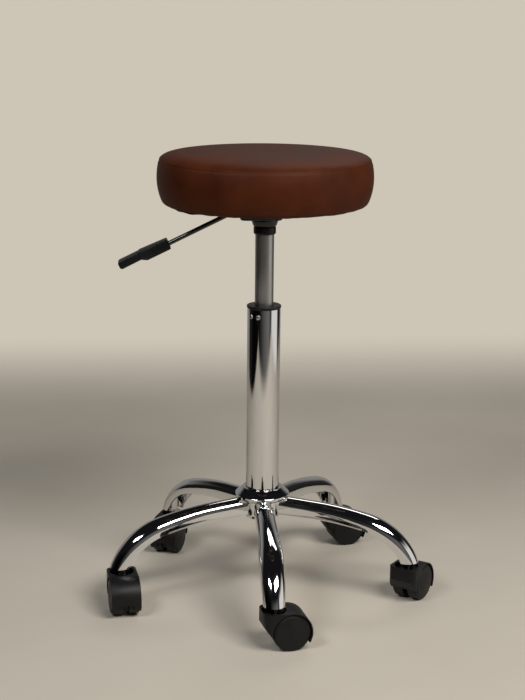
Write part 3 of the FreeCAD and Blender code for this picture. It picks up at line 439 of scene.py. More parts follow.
def lathe(outline: Outline, segments: int = 96) -> Mesh:
    """Spin an outline about the Z axis.

    Args:
        outline: (radius, height) points, closed or with both ends on the axis.
        segments: steps round the axis.

    Returns:
        The closed surface, normals outwards.
    """
    bm = bmesh.new()
    verts = [bm.verts.new((r, 0, z)) for r, z in outline]
    edges = [bm.edges.new(pair) for pair in zip(verts, verts[1:])]
    bmesh.ops.spin(bm, geom=verts + edges, cent=(0, 0, 0), axis=(0, 0, 1), angle=TURN,
                   steps=segments, use_merge=True, use_duplicate=False)
    bmesh.ops.remove_doubles(bm, verts=bm.verts, dist=1e-4)
    bmesh.ops.dissolve_degenerate(bm, dist=1e-5, edges=bm.edges)
    bmesh.ops.recalc_face_normals(bm, faces=bm.faces)
    return bm


def tube(outer: float, inner: float, low: float, high: float, edge: float = 0.5, segments: int = 96) -> Mesh:
    """Upright tube with rounded rims.

    Args:
        outer: outer radius.
        inner: inner radius.
        low: height of its underside.
        high: height of its top.
        edge: rounding of its rims.
        segments: sides.

    Returns:
        The tube.
    """
    corners = [(inner, low), (outer, low), (outer, high), (inner, high)]
    return lathe(rounded(corners, edge, 2, closed=True), segments)


def slab(corners: Iterable[Vector], depth: Vector) -> Mesh:
    """Extrude a flat outline into a closed solid.

    Args:
        corners: the outline's corners in order.
        depth: extrusion vector.

    Returns:
        The solid, normals outwards.
    """
    bm = bmesh.new()
    face = bm.faces.new([bm.verts.new(c) for c in corners])
    grown = bmesh.ops.extrude_face_region(bm, geom=[face])["geom"]
    bmesh.ops.translate(bm, verts=[g for g in grown if isinstance(g, bmesh.types.BMVert)], vec=depth)
    bmesh.ops.recalc_face_normals(bm, faces=bm.faces)
    return bm


def cuboid(centre: Sequence[float], size: Sequence[float]) -> Mesh:
    """Box with its sides along the axes.

    Args:
        centre: its middle.
        size: its length, width and height.

    Returns:
        The box.
    """
    bm = bmesh.new()
    bmesh.ops.create_cube(bm, size=1, matrix=Matrix.Translation(centre) @ Matrix.Diagonal((*size, 1)))
    return bm


def bar(radius: float, start: Vector, end: Vector, segments: int = 64) -> Mesh:
    """Solid round bar between two points.

    Args:
        radius: its radius.
        start: centre of one end.
        end: centre of the other.
        segments: sides.

    Returns:
        The bar.
    """
    bm = bmesh.new()
    along = end - start
    turn = along.to_track_quat("Z", "Y").to_matrix().to_4x4()
    bmesh.ops.create_cone(bm, cap_ends=True, segments=segments, radius1=radius, radius2=radius,
                          depth=along.length, matrix=Matrix.Translation((start + end) / 2) @ turn)
    return bm


def soften(bm: Mesh, width: float, segments: int = 2, limit: float = 30.0,
           chosen: Callable[[bmesh.types.BMEdge], bool] = lambda edge: True) -> Mesh:
    """Bevel the sharp edges of a mesh.

    Args:
        bm: the mesh.
        width: bevel width.
        segments: steps in the bevel.
        limit: least angle of an edge that counts as sharp, in degrees.
        chosen: further test of an edge.

    Returns:
        The same mesh.
    """
    sharp = [e for e in bm.edges if len(e.link_faces) == 2 and chosen(e)
             and e.calc_face_angle(0) > math.radians(limit)]
    bmesh.ops.bevel(bm, geom=sharp, affect="EDGES", offset=width, segments=segments, profile=0.5,
                    material=-1, clamp_overlap=True)
    return bm


def moved(bm: Mesh, matrix: Matrix) -> Mesh:
    """Transform a mesh and return it."""
    bmesh.ops.transform(bm, matrix=matrix, verts=bm.verts)
    return bm


def repeated(bm: Mesh, matrices: Iterable[Matrix]) -> Mesh:
    """Copies of a mesh in one mesh.

    Args:
        bm: the mesh, freed here.
        matrices: where each copy goes.

    Returns:
        The mesh of all the copies.
    """
    single = bpy.data.meshes.new("single")
    bm.to_mesh(single)
    bm.free()
    result = bmesh.new()
    for matrix in matrices:
        single.transform(matrix)
        result.from_mesh(single)
        single.transform(matrix.inverted())
    bpy.data.meshes.remove(single)
    return result


def carved(first: Mesh, others: Iterable[Mesh], how: str = "DIFFERENCE") -> Mesh:
    """Join solids, or cut some out of another, with the exact boolean.

    Args:
        first: the solid that is kept.
        others: the solids added or taken away; all are freed.
        how: UNION or DIFFERENCE.

    Returns:
        The result.
    """
    scratch = []
    for source in (first, *others):
        obj = bpy.data.objects.new("scratch", bpy.data.meshes.new("scratch"))
        source.to_mesh(obj.data)
        source.free()
        bpy.context.scene.collection.objects.link(obj)
        scratch.append(obj)
    for tool in scratch[1:]:
        step = scratch[0].modifiers.new("carve", "BOOLEAN")
        step.operation = how
        step.solver = "EXACT"
        step.object = tool
    shaped = scratch[0].evaluated_get(bpy.context.evaluated_depsgraph_get())
    bm = bmesh.new()
    bm.from_mesh(shaped.to_mesh())
    for obj in scratch:
        bpy.data.meshes.remove(obj.data)
    bmesh.ops.remove_doubles(bm, verts=bm.verts, dist=2e-3)
    return bm


def piece(name: str, bm: Mesh, finish: Finish, body: str, stands_for: Iterable[str] = (),
          sharp: float = 35.0) -> bpy.types.Object:
    """Turn a mesh in millimetres into a finished piece on a body.

    Args:
        name: the piece's name.
        bm: its mesh, freed here.
        finish: its finish.
        body: the CAD body that it rides on.
        stands_for: CAD nodes that it replaces.
        sharp: edges with a greater angle stay sharp, in degrees.

    Returns:
        The new object.
    """
    bmesh.ops.scale(bm, vec=(MM, MM, MM), verts=bm.verts)
    mesh = bpy.data.meshes.new(name)
    bm.to_mesh(mesh)
    bm.free()
    obj = bpy.data.objects.new(name, mesh)
    bpy.context.scene.collection.objects.link(obj)
    mesh.materials.append(finish.material())
    mesh.shade_smooth()
    mesh.set_sharp_from_angle(angle=math.radians(sharp))
    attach(obj, body)
    if stands_for:
        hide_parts(*stands_for)
    LOG.info("%s: %d faces on %s", name, len(mesh.polygons), body)
    return obj


# ---- base -------------------------------------------------------------------------------
@dataclass
class Leg:
    """One chromed leg: a D-shaped channel, open below, that springs down to its caster."""

    first_radius: float = 24.0
    width: float = 29.5
    bulge: float = 7.0
    bulge_start: float = 0.25
    bulge_span: float = 0.8
    depth_root: float = 26.0
    depth_tip: float = 22.5
    taper_end: float = 0.55
    crown_share: float = 0.88
    wall: float = 2.0
    lip: float = 0.5
    bends: tuple[tuple[float, float, float], ...] = ((515.0, 4.5, 14.0), (110.0, 14.0, 70.0))
    straight: float = 61.0
    tail: float = 18.0
    step: float = 4.0

    def ridge(self, run: float) -> tuple[float, float, float]:
        """Radius, drop and slope of the ridge at a distance along it.

        Args:
            run: distance from the root.

        Returns:
            Radius from the column's axis, drop below the root, and slope in radians.
        """
        slope = math.radians(self.bends[0][1])
        ahead = min(run, self.straight)
        radius, drop = self.first_radius + ahead * math.cos(slope), ahead * math.sin(slope)
        run -= ahead
        for bend, start, end in self.bends:
            first, last = math.radians(start), math.radians(end)
            slope = min(first + max(run, 0.0) / bend, last)
            radius += bend * (math.sin(slope) - math.sin(first))
            drop += bend * (math.cos(first) - math.cos(slope))
            run -= bend * (last - first)
        extra = max(run, 0.0)
        return radius + extra * math.cos(slope), drop + extra * math.sin(slope), slope

    def length(self) -> float:
        """Length of the ridge from root to tip."""
        return self.straight + self.tail + sum(b * math.radians(e - s) for b, s, e in self.bends)

    def bend_down(self, point: Vector, root_height: float) -> Vector:
        """Carry a point of the straight channel to its place on the bent leg.

        Args:
            point: place on the straight channel: run, sideways, and height above the ridge.
            root_height: height of the ridge's root.

        Returns:
            The point on the leg along +X.
        """
        share = point.x / self.length()
        phase = min(max((share - self.bulge_start) / self.bulge_span, 0.0), 1.0)
        half = (self.width + self.bulge * math.sin(math.pi * phase) ** 2) / 2
        depth = self.depth_tip + (self.depth_root - self.depth_tip) * max(0.0, 1 - share / self.taper_end)
        crown_first = self.crown_share * self.width / 2
        crown = self.crown_share * half
        if -point.z < crown_first:
            height = point.z * crown / crown_first
        else:
            height = -crown + (point.z + crown_first) * (depth - crown) / (self.depth_root - crown_first)
        radius, drop, slope = self.ridge(point.x)
        return Vector((radius + height * math.sin(slope), point.y * half * 2 / self.width,
                       root_height - drop + height * math.cos(slope)))

    def build(self, root_height: float, end_height: float) -> Mesh:
        """Leg along +X, cut level at its end.

        Args:
            root_height: height of the ridge's root.
            end_height: height of the level cut.

        Returns:
            The leg.
        """
        half = self.width / 2
        crown = self.crown_share * half
        bm = bmesh.new()
        first = bm.verts.new((0, half, 0))
        arch = bmesh.ops.spin(bm, geom=[first], cent=(0, 0, 0), axis=(1, 0, 0), angle=math.pi, steps=28,
                              use_duplicate=False)
        bmesh.ops.scale(bm, vec=(1, 1, self.crown_share), verts=bm.verts)
        bmesh.ops.translate(bm, vec=(0, 0, -crown), verts=bm.verts)
        last = next(g for g in arch["geom_last"] if isinstance(g, bmesh.types.BMVert))
        for share in (0.5, 1.0):
            for index, end in enumerate((first, last)):
                grown = bmesh.ops.extrude_vert_indiv(bm, verts=[end])["verts"][0]
                grown.co.z = -crown - (self.depth_root - crown) * share
                first, last = (grown, last) if index == 0 else (first, grown)
        count = math.ceil(self.length() / self.step)
        edges = bm.edges[:]
        for _ in range(count):
            grown = bmesh.ops.extrude_edge_only(bm, edges=edges)["geom"]
            edges = [g for g in grown if isinstance(g, bmesh.types.BMEdge)]
            verts = [g for g in grown if isinstance(g, bmesh.types.BMVert)]
            bmesh.ops.translate(bm, vec=(self.length() / count, 0, 0), verts=verts)
        bmesh.ops.recalc_face_normals(bm, faces=bm.faces)
        if sum(f.normal.z * f.calc_area() for f in bm.faces) < 0:
            bmesh.ops.reverse_faces(bm, faces=bm.faces)
        bmesh.ops.solidify(bm, geom=bm.faces[:], thickness=self.wall)
        bmesh.ops.recalc_face_normals(bm, faces=bm.faces)
        soften(bm, self.lip, 2, 50)
        for vert in bm.verts:
            vert.co = self.bend_down(vert.co, root_height)
        cut = bmesh.ops.bisect_plane(bm, geom=bm.verts[:] + bm.edges[:] + bm.faces[:], dist=1e-4,
                                     plane_co=(0, 0, end_height), plane_no=(0, 0, -1), clear_outer=True)
        rim = [g for g in cut["geom_cut"] if isinstance(g, bmesh.types.BMEdge)]
        bmesh.ops.holes_fill(bm, edges=rim, sides=0)
        bmesh.ops.recalc_face_normals(bm, faces=bm.faces)
        return bm


@dataclass
class Base:
    """Legs, hub, column and stems: everything that the chromed base carries."""

    leg: Leg
    hub_segments: int = 144
    column_radius: float = 25.0
    column_wall: float = 1.5
    sleeve_radius: float = 33.0
    collar_radius: float = 41.5
    flute_count: int = 9
    flute_first: float = -94.6
    flute_height: float = 23.0
    flute_widths: tuple[float, float] = (3.2, 1.0)
    rivet_angles: tuple[float, float] = (-115.0, -145.0)
    rivet_below_top: float = 11.4

    def build(self) -> None:
        """Make every piece of the base."""
        self.build_legs()
        self.build_hub()
        self.build_column()
        self.build_bush()
        self.build_stems()

    def build_legs(self) -> None:
        """Make the five legs, pointing at their casters."""
        for number in range(1, 6):
            node = f"leg_{number}"
            stem = joint_place(f"swivel_{number}")
            bm = self.leg.build(level(node, top=True), level(node))
            turned = moved(bm, Matrix.Rotation(math.atan2(stem.y, stem.x), 4, "Z"))
            piece(f"chromed_leg_{number}", turned, Finish.CHROME, "base", [node], 40)

    def build_hub(self) -> None:
        """Make the sleeve that the legs are welded to and the bevelled ring over them."""
        low, high = span("hub_sleeve")
        sleeve = tube(self.sleeve_radius, self.column_radius, low, high, 1.5, self.hub_segments)
        piece("hub_ring", sleeve, Finish.CHROME, "base", ["hub_sleeve"])
        low, high = span("hub_collar")
        radius = self.collar_radius
        outline = [(self.column_radius, low), (radius - 7, low), (radius, low + 6), (radius, low + 9),
                   (radius - 11, high), (self.column_radius + 0.15, high)]
        collar = lathe(rounded(outline, 0.7, 3, closed=True), self.hub_segments)
        piece("hub_cap_ring", collar, Finish.CHROME, "base", ["hub_collar"])

    def build_column(self) -> None:
        """Make the column with the tapered slots at its foot."""
        low, high = span("column_tube")
        foot = level("hub_collar", top=True)
        inner = self.column_radius - self.column_wall
        heights = [low + 0.6, foot - 4, foot + self.flute_height + 4, high - 0.6]
        outside = [(self.column_radius, z) for z in heights]
        inside = [(inner, z) for z in reversed(heights)]
        outline = [(inner + 0.5, low), (self.column_radius - 0.5, low), *outside,
                   (self.column_radius - 0.5, high), (inner + 0.5, high), *inside]
        bm = lathe(outline + outline[:1], self.hub_segments)
        wide, narrow = [w / 2 for w in self.flute_widths]
        top = foot + self.flute_height
        corners = [Vector((inner - 1, -wide, foot - 1)), Vector((inner - 1, wide, foot - 1)),
                   Vector((inner - 1, narrow, top - narrow)), Vector((inner - 1, 0, top)),
                   Vector((inner - 1, -narrow, top - narrow))]
        slots = []
        for index in range(self.flute_count):
            turn = Matrix.Rotation(math.radians(self.flute_first + 360 * index / self.flute_count), 4, "Z")
            slots.append(moved(slab(corners, Vector((self.column_wall + 2, 0, 0))), turn))
        piece("chromed_column", carved(bm, slots), Finish.CHROME, "base", ["column_tube"])

    def build_bush(self) -> None:
        """Make the guide bush with its rim, and its two rivets."""
        low, high = span("guide_bush")
        seat = level("column_tube", top=True)
        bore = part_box("gas_cylinder")[1][0] / MM + 0.05
        inner, rim = self.column_radius - self.column_wall - 0.02, self.column_radius + 0.8
        outline = [(bore, low), (inner, low), (inner, seat), (rim, seat), (rim, high), (bore, high)]
        bm = lathe(rounded(outline, 1.0, 4, closed=True), self.hub_segments)
        piece("top_bush", bm, Finish.PLASTIC, "base", ["guide_bush"])
        face = self.column_radius
        head = [(0, face - 4), (1.6, face - 4), (1.6, face - 0.2), (3.6, face - 0.2), (3.3, face + 0.6),
                (2.2, face + 1.05), (0, face + 1.1)]
        lying = moved(lathe(rounded(head, 0.4, 3), 32), Matrix.Rotation(math.pi / 2, 4, "Y"))
        up = Matrix.Translation((0, 0, seat - self.rivet_below_top))
        turns = [Matrix.Rotation(math.radians(angle), 4, "Z") for angle in self.rivet_angles]
        piece("column_rivets", repeated(lying, [up @ t for t in turns]), Finish.ZINC, "base", ["bush_rivets"])

    def build_stems(self) -> None:
        """Make the five caster stems with their shoulder rings."""
        low, high = span("caster_stems")
        under, shoulder = level("caster_hood_1", top=True) - 3.9, level("leg_1")
        outline = [(0, low), (5.5, low), (5.5, under), (9, under), (9, shoulder), (5.5, shoulder),
                   (5.5, high), (0, high)]
        stems = [Matrix.Translation(joint_place(f"swivel_{k}").xy.to_3d()) for k in range(1, 6)]
        bm = repeated(lathe(rounded(outline, 0.6), 48), stems)
        piece("stems", bm, Finish.ZINC, "base", ["caster_stems"])


# ---- casters ----------------------------------------------------------------------------
@dataclass
class Caster:
    """A twin-wheel caster, shaped with its stem on the Z axis and trailing along +X."""

    wheel_radius: float = 27.5
    trail: float = 22.0
    hood_gap: float = 1.0
    hood_wall: float = 2.0
    half_width: float = 22.0
    web: float = 6.4
    neck_radius: float = 18.0
    recess_radius: float = 14.5
    recess_depth: float = 4.0
    skirt_drop: float = 20.0
    corner: float = 9.0
    stem_bore: float = 5.6

    def hood(self) -> Mesh:
        """Hood with its web, the cavities of both wheels, the neck and its recess."""
        inner = self.wheel_radius + self.hood_gap
        outer = inner + self.hood_wall
        centre = Vector((self.trail, 0, self.wheel_radius))
        crest = self.wheel_radius + outer
        neck_top = crest + 7
        angles = [math.radians(-30 + 120 * k / 20) for k in range(21)]
        back = [centre + Vector((math.cos(a), 0, math.sin(a))) * outer for a in angles]
        lip = centre - Vector((math.cos(math.radians(12.4)), 0, math.sin(math.radians(12.4)))) * inner
        front = [Vector((-self.neck_radius, 0, z)) for z in (crest, crest - self.skirt_drop)]
        shift = Vector((0, self.half_width, 0))
        bm = slab([p - shift for p in [*back, *front, lip]], 2 * shift)
        soften(bm, self.corner, 6, 30, lambda e: abs(e.verts[0].co.z - e.verts[1].co.z) > 15
               and e.verts[0].co.x < 1 - self.neck_radius and e.verts[1].co.x < 1 - self.neck_radius)
        soften(bm, 1.4, 3, 50, lambda e: min(v.co.z for v in e.verts) > self.wheel_radius)
        neck = bar(self.neck_radius, Vector((0, 0, crest - 14)), Vector((0, 0, neck_top)), 72)
        soften(neck, 1.2, 3, 60)
        bm = carved(bm, [neck], "UNION")
        bore = Vector((0, 0, neck_top + 2))
        tools = [bar(self.recess_radius, Vector((0, 0, neck_top - self.recess_depth)), bore, 72),
                 bar(self.stem_bore, Vector((0, 0, neck_top - 14.3)), bore, 48)]
        for side in (-1, 1):
            start, end = centre + shift * side * self.web / 2 / self.half_width, centre + shift * side * 1.3
            tools.append(bar(inner, start, end, 96))
        tools.append(cuboid((self.trail + outer, 0, 8), (16, 22, 28.4)))
        return carved(bm, tools)

    def wheel(self) -> Mesh:
        """Left wheel: a domed disc with a rim groove and a hub."""
        r = self.wheel_radius
        dome = arc((0, 22.8), (12.2, 22.45), (24.0, 21.4), 12)
        rim = rounded([(24.0, 21.4), (24.6, 20.5), (25.7, 20.6), (r, 19.2), (r, 4.6), (r - 1.3, 4.0),
                       (r - 5, 4.0), (r - 5, 17.0), (8.5, 17.0), (8.5, 4.0), (4.05, 4.0), (4.05, 18.9),
                       (0, 18.9)], 0.8, 3)
        bm = lathe(dome + rim, 96)
        upright = Matrix.Translation((self.trail, 0, r)) @ Matrix.Rotation(-math.pi / 2, 4, "X")
        return moved(bm, upright)

    def build(self, number: int) -> None:
        """Make one caster at the end of its leg.

        Args:
            number: the leg's number.
        """
        stem = joint_place(f"swivel_{number}").xy.to_3d()
        axle = joint_place(f"left_roll_{number}").xy.to_3d() - stem
        home = Matrix.Translation(stem) @ Matrix.Rotation(math.atan2(axle.y, axle.x), 4, "Z")
        hood = piece(f"hood_{number}", moved(self.hood(), home), Finish.NYLON, f"caster_{number}",
                     [f"caster_hood_{number}"])
        edges = hood.modifiers.new("edges", "BEVEL")
        edges.width, edges.segments, edges.limit_method = 0.5 * MM, 2, "ANGLE"
        edges.angle_limit = math.radians(40)
        flip = Matrix.Scale(-1, 4, Vector((0, 1, 0)))
        for side, matrix in (("left", home), ("right", home @ flip)):
            bm = moved(self.wheel(), matrix)
            bmesh.ops.recalc_face_normals(bm, faces=bm.faces)
            piece(f"{side}_roller_{number}", bm, Finish.TREAD, f"{side}_wheel_{number}",
                  [f"wheel_{side}_{number}"])


# ---- gas lift and mechanism -------------------------------------------------------------
@dataclass
class Lift:
    """Gas cylinder, its collar and socket, and the pressed mechanism under the seat."""

    radius: float = 14.0
    wall: float = 2.0
    sheet: float = 2.4
    lever_slot: tuple[float, float, float] = (10.0, 8.4, 10.0)

    def build(self) -> None:
        """Make every piece of the lift and mechanism."""
        low, high = span("gas_cylinder")
        r = self.radius
        outline = [(r - self.wall, low), (r, low), (r, high - 24), (r - 0.8, high), (r - self.wall, high)]
        piece("bright_cylinder", lathe(rounded(outline, 0.6, 3, closed=True)), Finish.GROUND_STEEL, "seat",
              ["gas_cylinder"])
        low, high = span("stop_collar")
        outline = [(r + 0.02, low), (r + 1.1, low), (r + 2.7, low + 1.8), (r + 2.7, high - 1.9),
                   (r + 1.4, high - 1.5), (r + 1.4, high), (r + 0.02, high)]
        piece("lift_collar", lathe(rounded(outline, 0.5, 3, closed=True)), Finish.PLASTIC, "seat",
              ["stop_collar"])
        low, high = span("taper_socket")
        outline = [(r + 0.02, low), (r + 3.5, low), (r + 6, low + 7.5), (r + 6, high), (r - 0.5, high)]
        piece("cone_socket", lathe(rounded(outline, 0.8, 3, closed=True)), Finish.ENAMEL, "seat",
              ["taper_socket"])
        self.build_housing()
        self.build_screws()

    def build_housing(self) -> None:
        """Make the pressed tray with the lever's slot in its nose."""
        nose, tail = [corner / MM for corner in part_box("mechanism_housing")]
        bm = cuboid((nose + tail) / 2, tail - nose)
        soften(bm, 8.0, 6, 60, lambda e: abs(e.verts[0].co.z - e.verts[1].co.z) > 5)
        soften(bm, 2.6, 4, 60, lambda e: max(v.co.z for v in e.verts) < nose.z + 1)
        bmesh.ops.delete(bm, geom=[f for f in bm.faces if f.normal.z > 0.9], context="FACES_ONLY")
        bmesh.ops.solidify(bm, geom=bm.faces[:], thickness=self.sheet)
        bmesh.ops.recalc_face_normals(bm, faces=bm.faces)
        slot = cuboid((nose.x, 0, joint_place("lever_lift").z), self.lever_slot)
        piece("mechanism_tray", carved(bm, [slot]), Finish.ENAMEL, "seat", ["mechanism_housing"])

    def build_screws(self) -> None:
        """Make the four hexagon screws with their washers."""
        seat = level("seat_plate")
        low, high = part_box("plate_screws")
        middle = (high.x - low.x) / 2 / MM - 5.8
        head = bmesh.new()
        bmesh.ops.create_cone(head, cap_ends=True, segments=6, radius1=5.2, radius2=5.8, depth=2.9,
                              matrix=Matrix.Translation((0, 0, seat - 2.55)))
        soften(head, 0.4, 2, 30)
        washer = tube(6.4, 2.9, seat - 1.1, seat - 0.02, 0.3, 32)
        shank = bar(3.0, Vector((0, 0, seat - 1)), Vector((0, 0, high.z / MM)), 24)
        places = [Matrix.Translation((x, y, 0)) for x in (-middle, middle) for y in (-middle, middle)]
        screw = bmesh.new()
        for part in (head, washer, shank):
            mesh = bpy.data.meshes.new("part")
            part.to_mesh(mesh)
            part.free()
            screw.from_mesh(mesh)
            bpy.data.meshes.remove(mesh)
        piece("hex_screws", repeated(screw, places), Finish.ZINC, "seat", ["plate_screws"])


@dataclass
class Lever:
    """Bent release lever with its moulded paddle grip."""

    rod_radius: float = 3.5
    bend_at: float = -45.7
    bend_radius: float = 16.0
    droop: float = 26.0
    reach: float = -142.0
    grip_width: float = 26.0
    finger_width: float = 22.0

    def line(self, along: float, above: float, side: float = 0.0) -> Vector:
        """Point on the drooping line.

        Args:
            along: distance past the grip's mouth.
            above: height above the rod's axis.
            side: sideways distance.

        Returns:
            The point.
        """
        angle = math.radians(self.droop)
        rise = (self.reach - self.bend_at) * math.tan(angle)
        mouth = Vector((self.reach, 0, joint_place("lever_lift").z + rise))
        out = Vector((-math.cos(angle), 0, -math.sin(angle)))
        normal = Vector((-math.sin(angle), 0, math.cos(angle)))
        return mouth + out * along + normal * above + Vector((0, side, 0))

    def build(self) -> None:
        """Make the rod and the grip."""
        self.build_rod()
        self.build_grip()

    def build_rod(self) -> None:
        """Make the rod: straight out of the mechanism, round the bend and down to the grip."""
        pivot = joint_place("lever_lift")
        angle = math.radians(self.droop)
        tangent = self.bend_radius * math.tan(angle / 2)
        bm = bmesh.new()
        facing = Matrix.Translation((pivot.x + 4, 0, pivot.z)) @ Matrix.Rotation(math.pi / 2, 4, "Y")
        bmesh.ops.create_circle(bm, cap_ends=False, radius=self.rod_radius, segments=40, matrix=facing)
        ring = bm.edges[:]
        runs = (Vector((self.bend_at + tangent - pivot.x - 4, 0, 0)), None, None)
        for index, run in enumerate(runs):
            if index == 1:
                turned = bmesh.ops.spin(bm, geom=ring + list({v for e in ring for v in e.verts}),
                                        cent=(self.bend_at + tangent, 0, pivot.z - self.bend_radius),
                                        axis=(0, -1, 0), angle=angle, steps=10, use_duplicate=False)
                ring = [g for g in turned["geom_last"] if isinstance(g, bmesh.types.BMEdge)]
                continue
            grown = bmesh.ops.extrude_edge_only(bm, edges=ring)["geom"]
            ring = [g for g in grown if isinstance(g, bmesh.types.BMEdge)]
            verts = [g for g in grown if isinstance(g, bmesh.types.BMVert)]
            centre = sum((v.co for v in verts), Vector()) / len(verts)
            bmesh.ops.translate(bm, verts=verts, vec=run or self.line(43.0, 0) - centre)
        bmesh.ops.holes_fill(bm, edges=bm.edges, sides=0)
        bmesh.ops.recalc_face_normals(bm, faces=bm.faces)
        above_pin = level("valve_pin", top=True) + 0.3
        tongue = cuboid((-12.5, 0, above_pin + 1.5), (37, 8, 3))
        piece("bent_rod", carved(bm, [soften(tongue, 0.6)], "UNION"), Finish.LACQUER, "lever", ["lever_rod"])

    def build_grip(self) -> None:
        """Make the paddle: a block round the rod's end that steps down to a finger rest."""
        def plate(outline: Outline, width: float) -> Mesh:
            """Slab of a side outline of (along, above) points, centred on the lever."""
            return slab([self.line(a, h, -width / 2) for a, h in outline], Vector((0, width, 0)))

        block = plate([(0, -7.2), (38.5, -7.2), (46.5, -2.6), (46.5, 9.4), (44.5, 10.0), (0, 7.9)],
                      self.grip_width)
        finger = plate([(40, -2.6), (80.6, -3.2), (80.6, 9.4), (40, 9.4)], self.finger_width)
        tip = self.line(80.6, 3.1)
        soften(finger, 4.0, 5, 60, lambda e: all((v.co - tip).xz.length < 7 for v in e.verts)
               and abs(e.verts[0].co.y - e.verts[1].co.y) > 5)
        soften(finger, 1.6, 3, 40)
        soften(block, 1.6, 3, 25)
        piece("paddle_grip", carved(block, [finger], "UNION"), Finish.PLASTIC, "lever", ["lever_grip"])


